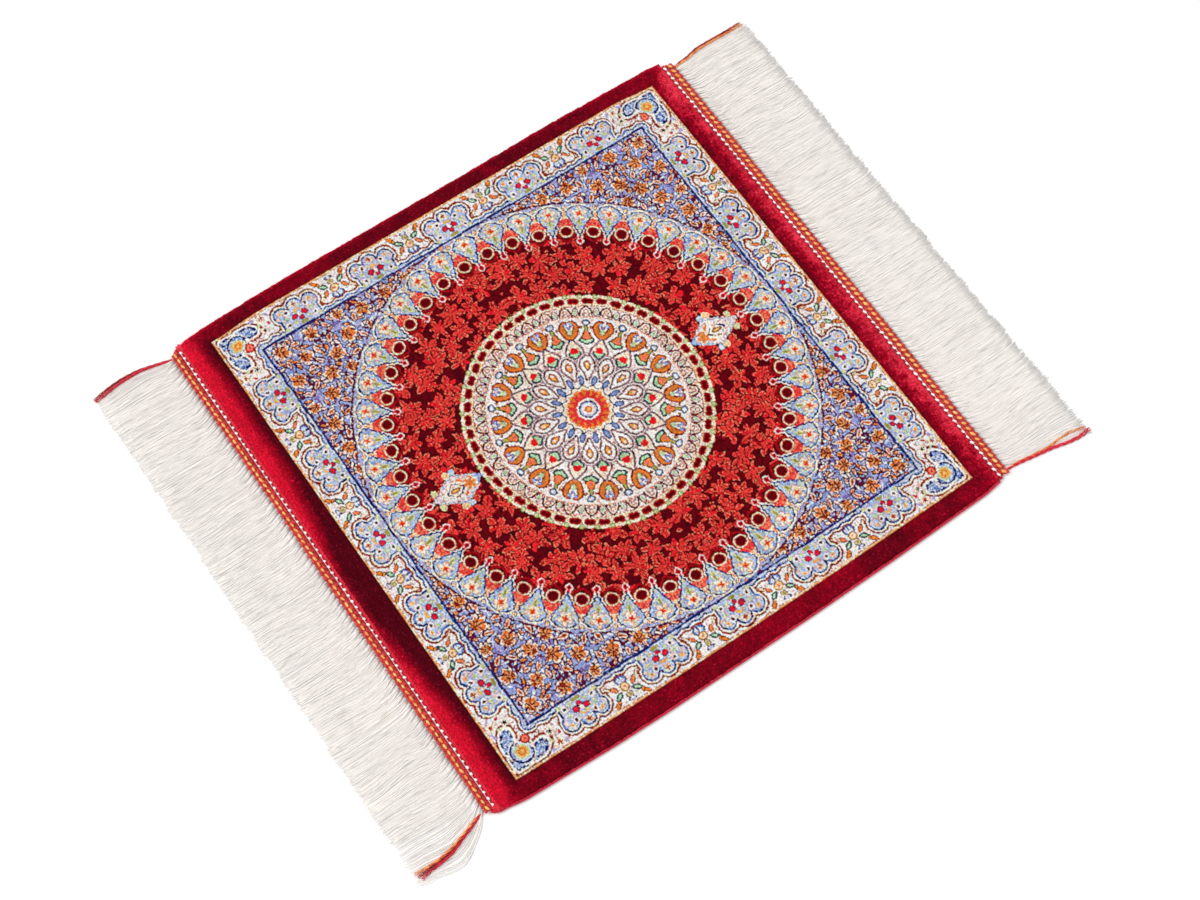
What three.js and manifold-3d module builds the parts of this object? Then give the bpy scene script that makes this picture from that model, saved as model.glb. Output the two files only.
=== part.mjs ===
import * as THREE from 'three';
import { mergeVertices } from 'three/addons/utils/BufferGeometryUtils.js';
import Module from 'manifold-3d';

// A small square knotted rug, lying flat. X runs along the fringed ends, Y along the warps, and
// the patterned square is centred on the origin at floor level. "Near" is the -Y end, "far" +Y,
// "left" the -X side and "right" +X. All sizes are in millimetres.

// Driving dimensions
const PILE_TOP = 4.5; // woven ground and clipped pile together
const GROUND_TOP = 1.2; // woven ground where it runs out past the pile
const CLEARANCE = 0.35; // between pieces that touch
const CORD_DIAMETER = 2.6; // overcast cord along each side
const PILE_OVERHANG = 1.0; // the nap leans left, over the left cord
const PILE_SETBACK = 3.4; // and stands back from the right cord's outer edge
const THREAD_HEIGHT = 1.0; // fringe locks lying on the floor
const THREADS_PER_END = 128;
const LOCK_DIAMETER = 1.5; // coloured yarn at the corners

// The pile rug is loosely woven and bows out between its ends. Each row is one station along
// it, with the outer edge of the side cord at the left and at the right.
const edgeStations = [
  { y: -204.4, left: -194.0, right: 192.4 },
  { y: -202.6, left: -197.4, right: 196.0 },
  { y: -199.0, left: -198.5, right: 197.9 },
  { y: -193.0, left: -199.1, right: 198.9 },
  { y: -186.0, left: -199.6, right: 199.8 },
  { y: -164.0, left: -200.3, right: 200.9 },
  { y: -120.0, left: -201.4, right: 202.8 },
  { y: -77.0, left: -201.1, right: 203.6 },
  { y: -33.0, left: -201.5, right: 203.3 },
  { y: 33.0, left: -201.2, right: 203.7 },
  { y: 98.0, left: -201.8, right: 202.9 },
  { y: 142.0, left: -201.6, right: 202.5 },
  { y: 185.0, left: -200.4, right: 200.6 },
  { y: 199.2, left: -199.4, right: 198.6 },
];

// The two ends: where the woven ground stops, the band of twined stitches that covers its end,
// and the fringe. "side" is the direction away from the rug.
const ends = {
  near: {
    side: -1, groundEnd: 211.0, groundLeft: -190.6, groundRight: 189.4,
    bandMiddle: 210.9, bandWidth: 5.4, bandLeft: -191.6, bandRight: 190.9, stitches: 79,
    fringeRoot: 213.6, fringeTip: 272.4, fringeLeft: -189.4, fringeRight: 189.9,
    spreadThreads: 11, spreadMiddle: 15.5, spreadTip: 13.5, spreadReach: -2.0,
  },
  far: {
    side: 1, groundEnd: 204.5, groundLeft: -194.6, groundRight: 194.8,
    bandMiddle: 204.5, bandWidth: 6.4, bandLeft: -195.8, bandRight: 196.2, stitches: 82,
    fringeRoot: 207.8, fringeTip: 272.6, fringeLeft: -190.2, fringeRight: 191.6,
    spreadThreads: 18, spreadMiddle: 1.6, spreadTip: 4.4, spreadReach: 3.4,
  },
};

const pileRed = new THREE.MeshStandardMaterial({ color: 0x9c1226, roughness: 0.9 });
const cordRed = new THREE.MeshStandardMaterial({ color: 0xb01834, roughness: 0.8 });
const bandOrange = new THREE.MeshStandardMaterial({ color: 0xc8582c, roughness: 0.8 });
const fringeIvory = new THREE.MeshStandardMaterial({ color: 0xece5da, roughness: 0.85 });
const yarnRust = new THREE.MeshStandardMaterial({ color: 0xb4402a, roughness: 0.8 });

const group = new THREE.Group();
const addPiece = (name, geometry, material) => {
  const mesh = new THREE.Mesh(geometry, material);
  mesh.name = name;
  group.add(mesh);
};

// Joins a row of closed sections, each with the same number of points in the same order, into
// one closed body with a flat cap at either end. Sections run anticlockwise seen from the start.
function loftSections(sections) {
  const count = sections[0].length;
  const last = sections.length - 1;
  const index = [];
  for (let s = 0; s < last; s++) {
    for (let k = 0; k < count; k++) {
      const a = s * count + k;
      const b = s * count + ((k + 1) % count);
      index.push(a, b + count, b, a, a + count, b + count);
    }
  }
  for (let k = 1; k < count - 1; k++) {
    index.push(0, k, k + 1);
    index.push(last * count, last * count + k + 1, last * count + k);
  }
  const geometry = new THREE.BufferGeometry();
  geometry.setAttribute('position', new THREE.Float32BufferAttribute(sections.flat(2), 3));
  geometry.setIndex(index);
  geometry.computeVertexNormals();
  return geometry;
}

// The outer edge at one side as a smooth curve, read at any y by halving.
function edgeReader(sideName) {
  const points = edgeStations.map((row) => new THREE.Vector3(row[sideName], row.y, 0));
  const curve = new THREE.CatmullRomCurve3(points, false, 'centripetal');
  return (y) => {
    let low = 0;
    let high = 1;
    for (let step = 0; step < 24; step++) {
      const middle = (low + high) / 2;
      if (curve.getPoint(middle).y < y) low = middle;
      else high = middle;
    }
    return curve.getPoint((low + high) / 2).x;
  };
}
const leftEdge = edgeReader('left');
const rightEdge = edgeReader('right');

// Pile rug: the knotted square in one piece with the woven ground that runs out at both ends.
// Its sections are cut across the rug. The foot of the pile stops short of the side cords, and
// the pile leans over the left one.
const pileNearY = edgeStations[0].y;
const pileFarY = edgeStations[edgeStations.length - 1].y;
const pileSection = (y) => {
  const left = leftEdge(y);
  const right = rightEdge(y);
  const foot = CORD_DIAMETER + CLEARANCE;
  return [
    [left + foot, y, 0],
    [right - foot, y, 0],
    [right - foot, y, CORD_DIAMETER + CLEARANCE],
    [right - PILE_SETBACK, y, PILE_TOP - 0.4],
    [right - PILE_SETBACK - 0.9, y, PILE_TOP],
    [left - PILE_OVERHANG + 1.6, y, PILE_TOP],
    [left - PILE_OVERHANG, y, PILE_TOP - 0.5],
    [left - PILE_OVERHANG + 0.3, y, PILE_TOP - 1.2],
    [left + foot, y, CORD_DIAMETER + CLEARANCE],
  ];
};
const groundSection = (end, y) => {
  const left = end.groundLeft;
  const right = end.groundRight;
  const bevel = GROUND_TOP / 4;
  return [
    [left, y, 0],
    [right, y, 0],
    [right, y, bevel * 2],
    [right, y, bevel * 3],
    [right - bevel, y, GROUND_TOP],
    [left + bevel, y, GROUND_TOP],
    [left, y, bevel * 3],
    [left, y, bevel * 2],
    [left, y, bevel],
  ];
};
const pileStep = 12;
const cornerRows = 4; // the near corners turn within the table's first rows
const pileYs = edgeStations.slice(0, cornerRows).map((row) => row.y);
const evenStart = pileYs[cornerRows - 1];
const evenSteps = Math.round((pileFarY - evenStart) / pileStep);
for (let step = 1; step <= evenSteps; step++) {
  pileYs.push(evenStart + ((pileFarY - evenStart) * step) / evenSteps);
}
addPiece('pile_rug', loftSections([
  groundSection(ends.near, -ends.near.groundEnd),
  groundSection(ends.near, pileNearY - CLEARANCE),
  ...pileYs.map(pileSection),
  groundSection(ends.far, pileFarY + CLEARANCE),
  groundSection(ends.far, ends.far.groundEnd),
]), pileRed);

// A round bar of yarn along a smooth curve, as many-sided as asked.
function yarnBar(points, diameter, sides, steps) {
  const outline = new THREE.Shape();
  for (let k = 0; k < sides; k++) {
    const angle = (Math.PI * 2 * (k + 0.5)) / sides;
    const x = (Math.cos(angle) * diameter) / 2;
    const y = (Math.sin(angle) * diameter) / 2;
    if (k === 0) outline.moveTo(x, y);
    else outline.lineTo(x, y);
  }
  const path = new THREE.CatmullRomCurve3(points, false, 'centripetal');
  return new THREE.ExtrudeGeometry(outline, { steps, bevelEnabled: false, extrudePath: path });
}

// Side cords: the outer warps overcast with pile yarn. At the near end each turns in round the
// corner to meet the band.
const cordRadius = CORD_DIAMETER / 2;
const cordSteps = 44;
const cordTurns = {
  left: { inward: 1, edge: leftEdge, corner: [[-197.0, -204.6], [-196.0, -208.0], [-193.9, -210.5]] },
  right: { inward: -1, edge: rightEdge, corner: [[195.9, -204.4], [194.9, -207.4], [193.1, -209.6]] },
};
for (const [sideName, turn] of Object.entries(cordTurns)) {
  const cordPoints = turn.corner.map(([x, y]) => new THREE.Vector3(x, y, cordRadius));
  cordPoints.reverse();
  for (const y of [...pileYs.slice(2, -1), pileFarY - CLEARANCE * 2]) {
    cordPoints.push(new THREE.Vector3(turn.edge(y) + turn.inward * cordRadius, y, cordRadius));
  }
  addPiece(`side_cord_${sideName}`, yarnBar(cordPoints, CORD_DIAMETER, 8, cordSteps), cordRed);
}

// End bands: a row of twined stitches over the end of the woven ground. Each stitch is a raised
// bead, so the sections swell and narrow along the band.
const bandFoot = GROUND_TOP + CLEARANCE;
const bandHeight = 2.1;
for (const [endName, end] of Object.entries(ends)) {
  const sections = [];
  for (let half = 0; half <= end.stitches * 2; half++) {
    const x = end.bandLeft + ((end.bandRight - end.bandLeft) * half) / (end.stitches * 2);
    const swell = half % 2 === 1 ? 1 : 0.74;
    const reach = (end.bandWidth / 2) * (0.4 + 0.6 * swell);
    const middle = end.side * end.bandMiddle;
    sections.push([
      [x, middle + reach, bandFoot],
      [x, middle - reach, bandFoot],
      [x, middle - reach, bandFoot + bandHeight * 0.5 * swell],
      [x, middle, bandFoot + bandHeight * swell],
      [x, middle + reach, bandFoot + bandHeight * 0.5 * swell],
    ]);
  }
  addPiece(`end_band_${endName}`, loftSections(sections), bandOrange);
}

// Fringes: the warps run out past the band and are cut off level. Each is one comb: a narrow
// root strip under the band's outer half, and locks that lie apart on the floor. Towards the
// right corner the last few locks spread.
const vary = (number, kind) => Math.sin(number * (2.4 + 0.37 * kind) + kind * 1.9);
const rootShare = 0.76;
const middleShare = 0.8;
const tipShare = 0.3;
for (const [endName, end] of Object.entries(ends)) {
  const pitch = (end.fringeRight - end.fringeLeft) / THREADS_PER_END;
  const stripStart = end.groundEnd + CLEARANCE;
  const length = end.fringeTip - end.fringeRoot;
  const comb = new THREE.Shape();
  comb.moveTo(end.fringeLeft, stripStart);
  for (let lock = 0; lock < THREADS_PER_END; lock++) {
    const root = end.fringeLeft + pitch * (lock + 0.5);
    const spread = Math.max(0, (lock + 1 - (THREADS_PER_END - end.spreadThreads)) / end.spreadThreads);
    const middle = root + 0.1 * vary(lock, 1) + end.spreadMiddle * spread ** 1.3;
    const tip = root + 0.5 * vary(lock, 2) + end.spreadTip * spread ** 1.3;
    const middleY = end.fringeRoot + length * (0.5 + 0.05 * vary(lock, 3));
    const tipY = end.fringeTip + 1.1 * vary(lock, 4) + end.spreadReach * spread;
    comb.lineTo(root - (pitch * rootShare) / 2, end.fringeRoot);
    comb.lineTo(middle - (pitch * middleShare) / 2, middleY);
    comb.lineTo(tip - (pitch * tipShare) / 2, tipY);
    comb.lineTo(tip + (pitch * tipShare) / 2, tipY);
    comb.lineTo(middle + (pitch * middleShare) / 2, middleY);
    comb.lineTo(root + (pitch * rootShare) / 2, end.fringeRoot);
  }
  comb.lineTo(end.fringeRight, stripStart);
  const geometry = new THREE.ExtrudeGeometry(comb, { depth: THREAD_HEIGHT, bevelEnabled: false });
  if (end.side < 0) geometry.applyMatrix4(new THREE.Matrix4().makeRotationX(Math.PI));
  if (end.side < 0) geometry.translate(0, 0, THREAD_HEIGHT);
  addPiece(`fringe_${endName}`, geometry, fringeIvory);
}

// Corner locks: the coloured ends of the band's and the side cord's yarns, left as long as the
// fringe. Each is a stem that parts into loose yarns, and the yarns are joined at the stem.
const wasm = await Module();
wasm.setup();
function toSolid(geometry) {
  const bare = geometry.clone();
  bare.deleteAttribute('normal');
  bare.deleteAttribute('uv');
  const merged = mergeVertices(bare, 1e-4);
  return new wasm.Manifold(new wasm.Mesh({
    numProp: 3,
    vertProperties: new Float32Array(merged.attributes.position.array),
    triVerts: new Uint32Array(merged.index.array),
  }));
}
function toGeometry(solid) {
  const mesh = solid.getMesh();
  const geometry = new THREE.BufferGeometry();
  geometry.setAttribute('position', new THREE.BufferAttribute(mesh.vertProperties, 3));
  geometry.setIndex(new THREE.BufferAttribute(mesh.triVerts, 1));
  geometry.computeVertexNormals();
  return geometry;
}
const lockFloor = LOCK_DIAMETER / 2 + 0.02;
const lockOnFringe = THREAD_HEIGHT + CLEARANCE + LOCK_DIAMETER / 2;
const cornerLocks = {
  near_left: {
    height: lockFloor,
    stem: [[-190.9, -213.7], [-191.6, -219], [-193.8, -229], [-195.0, -240]],
    yarns: [[[-195.4, -256], [-193.6, -272.5]], [[-197.2, -256], [-196.2, -270]]],
  },
  near_right: {
    height: lockOnFringe,
    stem: [[189.4, -213.9], [190.8, -219], [194.4, -228], [197.4, -238]],
    yarns: [[[198.2, -246], [199.2, -272]], [[201.0, -256], [204.4, -270.8]]],
  },
  far_left: {
    height: lockFloor,
    stem: [[-191.7, 207.8], [-192.4, 214], [-193.8, 223], [-195.0, 234]],
    yarns: [[[-195.8, 252], [-197.4, 271.5]], [[-194.2, 252], [-194.3, 270]]],
  },
  far_right: {
    height: lockFloor,
    stem: [[193.4, 208.1], [194.0, 214], [195.0, 226], [196.6, 243]],
    yarns: [[[197.6, 258], [200.2, 273]], [[200.8, 256], [202.4, 273]]],
  },
};
for (const [cornerName, lock] of Object.entries(cornerLocks)) {
  const place = ([x, y]) => new THREE.Vector3(x, y, lock.height);
  const yarns = lock.yarns.map((yarn) =>
    toSolid(yarnBar([...lock.stem, ...yarn].map(place), LOCK_DIAMETER, 6, 14)));
  addPiece(`yarn_lock_${cornerName}`, toGeometry(yarns[0].add(yarns[1])), yarnRust);
}

export default group;
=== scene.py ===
# The square accent rug: a small hand-knotted silk rug with a plain red edge, lying flat on a pale floor.
import math
import bpy
import mathutils
import numpy as np
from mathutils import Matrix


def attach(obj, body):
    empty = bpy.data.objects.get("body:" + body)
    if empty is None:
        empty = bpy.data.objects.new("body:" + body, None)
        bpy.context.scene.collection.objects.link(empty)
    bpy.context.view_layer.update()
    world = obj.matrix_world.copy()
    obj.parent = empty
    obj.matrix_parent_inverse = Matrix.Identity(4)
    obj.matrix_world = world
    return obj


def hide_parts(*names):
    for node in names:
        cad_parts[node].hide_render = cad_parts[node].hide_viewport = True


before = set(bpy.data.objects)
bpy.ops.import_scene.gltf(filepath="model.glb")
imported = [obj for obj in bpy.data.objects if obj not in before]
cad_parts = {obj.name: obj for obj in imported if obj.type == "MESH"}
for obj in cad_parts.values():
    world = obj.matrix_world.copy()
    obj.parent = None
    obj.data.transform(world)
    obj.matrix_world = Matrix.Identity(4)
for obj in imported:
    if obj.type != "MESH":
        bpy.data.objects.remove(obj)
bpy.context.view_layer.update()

# The woven ground: ivory warps and wefts that carry the knots, the one sheet of cloth in the rug.
# It is hidden by the pile and shows as a narrow ivory line where the pile stops at each end.
MM = 0.001
GROUND_TOP = 1.2
PILE_TOP = 4.5
NEAR_CLOTH_END, FAR_CLOTH_END = -211.0, 204.5
NEAR_PILE_END, FAR_PILE_END = -204.4, 199.2

# How far the two sides reach at places along the warps: along, left side, right side.
side_places = np.array([
    (-204.4, -194.0, 192.4),
    (-202.6, -197.4, 196.0),
    (-199.0, -198.5, 197.9),
    (-186.0, -199.6, 199.8),
    (-120.0, -201.4, 202.8),
    (-77.0, -201.1, 203.6),
    (33.0, -201.2, 203.7),
    (98.0, -201.8, 202.9),
    (185.0, -200.4, 200.6),
    (199.2, -199.4, 198.6),
])


def left_side(along):
    return np.interp(along, side_places[:, 0], side_places[:, 1])


def right_side(along):
    return np.interp(along, side_places[:, 0], side_places[:, 2])


class Wire:
    """One output of a shader node. Sums and products of wires and numbers add their Math nodes."""

    def __init__(self, tree, socket=None):
        self.tree = tree
        self.socket = socket

    def add(self, kind, settings=None, inputs=None, output=0):
        """Add a node: its settings first, then the numbers, colours or wires of its sockets."""
        node = self.tree.nodes.new(kind)
        for name, value in (settings or {}).items():
            if name == "stops":
                for stop, (place, colour) in enumerate(value):
                    if stop > 1:
                        node.color_ramp.elements.new(place)
                    node.color_ramp.elements[stop].position = place
                    node.color_ramp.elements[stop].color = colour
            else:
                setattr(node, name, value)
        for key, value in (inputs or {}).items():
            if isinstance(value, Wire):
                self.tree.links.new(value.socket, node.inputs[key])
            else:
                node.inputs[key].default_value = value
        return Wire(self.tree, node.outputs[output])

    def maths(self, operation, first, second):
        return self.add("ShaderNodeMath", {"operation": operation}, {0: first, 1: second})

    def tint(self, colour, other):
        """Mix two colours, this wire saying how much of the second there is."""
        return self.add("ShaderNodeMix", {"data_type": "RGBA"}, {0: self, 6: colour, 7: other}, 2)

    def shaded(self, tone):
        """This colour darkened by a second colour."""
        settings = {"data_type": "RGBA", "blend_type": "MULTIPLY"}
        return self.add("ShaderNodeMix", settings, {0: 1.0, 6: self, 7: tone}, 2)

    def __add__(self, other):
        return self.maths("ADD", self, other)

    def __radd__(self, other):
        return self.maths("ADD", other, self)

    def __mul__(self, other):
        return self.maths("MULTIPLY", self, other)

    def __rmul__(self, other):
        return self.maths("MULTIPLY", other, self)


def linear(colour, strength=1.0):
    """A colour read as 0 to 255 on a screen, as the light it stands for."""
    part = np.asarray(colour, dtype=float) / 255
    light = np.where(part <= 0.04045, part / 12.92, ((part + 0.055) / 1.055) ** 2.4)
    return light * strength


def finish(name, roughness, sheen=0.0, gloss=0.3):
    """Start a material: returns it, a wire to build on and its shader."""
    material = bpy.data.materials.new(name)
    material.use_nodes = True
    shader = material.node_tree.nodes["Principled BSDF"]
    shader.inputs["Roughness"].default_value = roughness
    shader.inputs["Specular IOR Level"].default_value = gloss
    shader.inputs["Sheen Weight"].default_value = sheen
    shader.inputs["Sheen Roughness"].default_value = 0.4
    return material, Wire(material.node_tree), shader


def feed(shader, socket, wire):
    wire.tree.links.new(wire.socket, shader.inputs[socket])


def relief(wire, height, shader, distance, strength=1.0):
    """Raise the surface by a wire, as far as distance in metres."""
    bump = wire.add("ShaderNodeBump", None, {"Height": height, "Distance": distance, "Strength": strength})
    feed(shader, "Normal", bump)


def piece(name, points, faces, material, node, shades=None):
    """Make one object from points in millimetres and faces, with a colour for each point where given."""
    mesh = bpy.data.meshes.new(name)
    faces = np.asarray(faces)
    corners = faces.shape[1]
    mesh.vertices.add(len(points))
    mesh.vertices.foreach_set("co", (np.asarray(points) * MM).astype(np.float32).ravel())
    mesh.loops.add(faces.size)
    mesh.loops.foreach_set("vertex_index", faces.astype(np.int32).ravel())
    mesh.polygons.add(len(faces))
    mesh.polygons.foreach_set("loop_start", np.arange(0, faces.size, corners, dtype=np.int32))
    mesh.polygons.foreach_set("use_smooth", np.ones(len(faces), bool))
    mesh.update(calc_edges=True)
    if shades is not None:
        dye_and_painted_shading = mesh.color_attributes.new("dye_and_painted_shading", "FLOAT_COLOR", "POINT")
        dye_and_painted_shading.data.foreach_set("color", np.c_[shades, np.ones(len(shades))].astype(np.float32).ravel())
    mesh.materials.append(material)
    thing = bpy.data.objects.new(name, mesh)
    bpy.context.scene.collection.objects.link(thing)
    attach(thing, "root")
    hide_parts(node)
    return thing


def lattice(rows, columns, start=0):
    """The square faces of a grid of points, numbered row by row."""
    number = np.arange(rows * columns).reshape(rows, columns) + start
    return np.stack([number[:-1, :-1], number[:-1, 1:], number[1:, 1:], number[1:, :-1]], -1).reshape(-1, 4)


# Between the pile's sides it stops short of the cords, and past the pile it is as wide as each end band.
cloth_rows, cloth_columns = 60, 50
cloth_along = np.linspace(NEAR_CLOTH_END, FAR_CLOTH_END, cloth_rows)
cloth_left = np.maximum(left_side(cloth_along) + 3.0, np.where(cloth_along < NEAR_PILE_END, -190.6, -400))
cloth_right = np.minimum(right_side(cloth_along) - 4.4, np.where(cloth_along < NEAR_PILE_END, 189.4, 400))
cloth_left = np.where(cloth_along > FAR_PILE_END, -194.6, cloth_left)
cloth_right = np.where(cloth_along > FAR_PILE_END, 194.8, cloth_right)
cloth_share = np.linspace(0, 1, cloth_columns)
cloth_x = cloth_left[:, None] * (1 - cloth_share) + cloth_right[:, None] * cloth_share
cloth_y = np.repeat(cloth_along[:, None], cloth_columns, 1)
cloth_ridge = 0.05 * np.cos(cloth_y * 2.1) * np.cos(cloth_x * 1.3)
cloth_top = np.stack([cloth_x, cloth_y, GROUND_TOP - 0.1 + cloth_ridge], -1).reshape(-1, 3)
cloth_foot = np.stack([cloth_x, cloth_y, np.zeros_like(cloth_x)], -1).reshape(-1, 3)
cloth_rim = np.concatenate([
    np.arange(cloth_columns),
    np.arange(2, cloth_rows + 1) * cloth_columns - 1,
    (cloth_rows - 1) * cloth_columns + np.arange(cloth_columns - 2, -1, -1),
    np.arange(cloth_rows - 2, 0, -1) * cloth_columns,
])
cloth_count = cloth_rows * cloth_columns
cloth_next = np.roll(cloth_rim, -1)
cloth_wall = np.stack([cloth_rim + cloth_count, cloth_next + cloth_count, cloth_next, cloth_rim], -1)
cloth_faces = np.concatenate([
    lattice(cloth_rows, cloth_columns),
    lattice(cloth_rows, cloth_columns, cloth_count)[:, ::-1],
    cloth_wall,
])

cloth_finish, start, shader = finish("ivory_ground_weave", 0.75, 0.2, 0.2)
place = start.add("ShaderNodeTexCoord", None, None, 3)
warp_lines = start.add("ShaderNodeTexWave", {"bands_direction": "X"}, {"Vector": place, "Scale": 320.0})
weft_lines = start.add("ShaderNodeTexWave", {"bands_direction": "Y"}, {"Vector": place, "Scale": 260.0})
wear = start.add("ShaderNodeTexNoise", None, {"Vector": place, "Scale": 90.0, "Detail": 4.0})
# The ivory is darker along the weave's grooves, painted shade between the threads, and in soft random
# patches.
weave = warp_lines * 0.5 + weft_lines * 0.5
shade = weave * 0.5 + wear * 0.5
feed(shader, "Base Color", shade.tint((0.52, 0.47, 0.40, 1), (0.90, 0.86, 0.79, 1)))
relief(start, weave, shader, 0.0002)

cloth_points = np.concatenate([cloth_top, cloth_foot])
ground = piece("woven_ground", cloth_points, cloth_faces, cloth_finish, "pile_rug")

# The pile: clipped silk knots, about one to the millimetre, tied row by row on the ground.
# Each knot is a low tuft of four faces: its tip in the middle, its foot shared with its neighbours.
KNOTS_ACROSS = 370
HALF_SQUARE = KNOTS_ACROSS / 2
LEFT_KNOTS, RIGHT_KNOTS, NEAR_KNOTS, FAR_KNOTS = 14, 13, 19, 14


def value_noise(x, y, size, seed):
    """Soft random patches about size wide, from -1 to 1."""
    rng = np.random.default_rng(seed)
    grid = rng.uniform(-1, 1, (256, 256))
    column, row = (x + 400) / size, (y + 400) / size
    column_step, row_step = np.floor(column), np.floor(row)
    across, up = column - column_step, row - row_step
    across, up = across * across * (3 - 2 * across), up * up * (3 - 2 * up)
    column_step, row_step = column_step.astype(int) % 255, row_step.astype(int) % 255
    low = grid[row_step, column_step] * (1 - across) + grid[row_step, column_step + 1] * across
    high = grid[row_step + 1, column_step] * (1 - across) + grid[row_step + 1, column_step + 1] * across
    return low * (1 - up) + high * up


foot_columns = np.arange(-HALF_SQUARE - LEFT_KNOTS, HALF_SQUARE + RIGHT_KNOTS + 1)
foot_rows = np.arange(-HALF_SQUARE - NEAR_KNOTS, HALF_SQUARE + FAR_KNOTS + 1)
foot_x, foot_y = np.meshgrid(foot_columns, foot_rows)
tip_x, tip_y = np.meshgrid(foot_columns[:-1] + 0.5, foot_rows[:-1] + 0.5)
foot_count = foot_x.size
x = np.concatenate([foot_x.ravel(), tip_x.ravel()])
y = np.concatenate([foot_y.ravel(), tip_y.ravel()])


def patches(size, seed):
    """Soft random patches over all the knots."""
    return value_noise(x, y, size, seed)


# The colours of the knots, from drawn shapes. Places are counted in knots from the middle of the rug,
# and shift a little from row to row, as they do on any rug tied by eye.
yarn = {
    "crimson": (214, 30, 54), "wine": (84, 2, 18), "maroon": (104, 2, 14), "blood": (160, 10, 24),
    "coral": (230, 62, 58), "salmon": (248, 122, 96), "rust": (138, 42, 28), "brick": (180, 74, 50),
    "orange": (236, 128, 52), "gold": (248, 182, 96), "tan": (204, 122, 56), "peach": (252, 214, 178),
    "cream": (252, 236, 208), "ivory": (248, 240, 234), "white": (255, 253, 251), "fawn": (218, 186, 146),
    "sky": (170, 190, 226), "ice": (208, 219, 238), "periwinkle": (148, 158, 208), "blue": (104, 134, 192),
    "navy": (24, 44, 112), "lavender": (180, 166, 210), "plum": (96, 22, 62), "violet": (128, 106, 172),
    "mauve": (166, 132, 146), "teal": (64, 108, 104), "mint": (172, 210, 170), "olive": (164, 156, 84),
    "sage": (204, 208, 158), "pink": (248, 206, 204), "magenta": (206, 30, 74), "slate": (52, 60, 92),
    "red": (226, 32, 42), "umber": (70, 24, 18), "apricot": (232, 146, 96), "amber": (222, 116, 48),
    "cornflower": (132, 146, 204), "tangerine": (244, 112, 88), "rose": (226, 56, 52),
}
dye_and_painted_shading = np.zeros((x.size, 3))
tied_x = x + 0.42 * patches(8, 61) + 0.22 * patches(2.6, 62)
tied_y = y + 0.42 * patches(8, 63) + 0.22 * patches(2.6, 64)
radius = np.hypot(tied_x, tied_y)
grain_rng = np.random.default_rng(5)
grain = grain_rng.uniform(-1, 1, x.size)


def tie(area, shape, *rings):
    """Tie one shape's yarns from its edge inward: each ring is how far inside it starts, and its yarn."""
    for inside, name in rings:
        dye_and_painted_shading[area & (shape < -inside)] = yarn[name]


def mottle(area, clump, seed, *names):
    """Mix several yarns over an area, in clumps of a few knots with some strays among them."""
    mixed = patches(clump, seed) * 0.8 + 0.3 * grain
    choice = np.clip((mixed + 1) / 2 * len(names), 0, len(names) - 1).astype(int)
    for number, name in enumerate(names):
        dye_and_painted_shading[area & (choice == number)] = yarn[name]


def disc(x, y, cx, cy, size):
    return np.hypot(x - cx, y - cy) - size


def oval(x, y, cx, cy, wide, tall, turn=0.0):
    c, s = math.cos(turn), math.sin(turn)
    dx, dy = x - cx, y - cy
    return (np.hypot((dx * c + dy * s) / wide, (dy * c - dx * s) / tall) - 1) * min(wide, tall)


def leaf(x, y, cx, cy, length, width, turn):
    """A leaf with two points, half of length long and half of width wide from its middle."""
    c, s = math.cos(turn), math.sin(turn)
    dx, dy = x - cx, y - cy
    along, across = (dx * c + dy * s) / length, (dy * c - dx * s)
    return np.abs(across) - width * (1 - along * along)


def bloom(x, y, cx, cy, inner, outer, petals, turn=0.0):
    angle = np.arctan2(y - cy, x - cx) - turn
    return np.hypot(x - cx, y - cy) - inner - (outer - inner) * np.abs(np.cos(angle * petals / 2))


def turned(across, along, *stops):
    """A shape with two like sides, given by half its width at a few places along its middle line."""
    places, halves = np.array(stops).T
    near_side = np.clip(along, places[0], places[-1])
    slopes = np.gradient(halves, places)
    steep = np.sqrt(1 + np.interp(near_side, places, slopes) ** 2)
    aside = (np.abs(across) - np.interp(near_side, places, halves)) / steep
    beyond = np.abs(along - near_side)
    return np.where(beyond > 0, np.hypot(np.maximum(aside, 0), beyond), aside)


def figures(area, x, y, *shapes):
    """Tie a run of shapes over one area: each is its kind, its numbers, and its rings of yarn."""
    for kind, numbers, *rings in shapes:
        tie(area, kind(x, y, *numbers), *rings)


def around(repeats, start=0.0):
    """Fold the rug into one repeat of a ring: places across it, and out from the middle of the rug."""
    step = 2 * math.pi / repeats
    angle = (np.arctan2(tied_y, tied_x) - start + step / 2) % step - step / 2
    return radius * np.sin(angle), radius * np.cos(angle)


# The plain red edge, its light and shade painted into the knots' colours: lighter along its outer half,
# where the nap catches the light, and darker along its inner half, most of all along the near end, a little
# past the middle. Soft patches of painted sheen mottle it, and the sides are painted lighter toward the ends.
edge_depth = np.maximum(np.abs(x), np.abs(y)) - HALF_SQUARE
# The nap's painted sheen: soft patches, and single knots, a little lighter or darker.
nap_sheen = patches(46, 3) * 0.45 + patches(14, 4) * 0.45 + patches(4.2, 5) * 0.42
nap_sheen += patches(1.5, 6) * 0.45 + 0.3 * grain
shade_line = 5.5 + 9.5 * np.exp(-((x - 28) / 72) ** 2)
near_light = 0.36 + (edge_depth - shade_line) / 10 - 0.3 * np.exp(-((x - 34) / 60) ** 2)
far_light = 0.3 + edge_depth / 20
side_light = np.where(x < 0, 0.2 + np.clip(edge_depth - 9.5, 0, 4) * 0.12, 0.26)
side_light += 0.9 * np.clip(np.abs(y) / HALF_SQUARE - 0.8, 0, 1)
side_light += 0.12 * value_noise(x * 0.3, y, 30, 7)
at_end = np.clip((np.abs(y) - np.abs(x)) / 18 + 0.5, 0, 1)
at_end = at_end * at_end * (3 - 2 * at_end)
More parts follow.
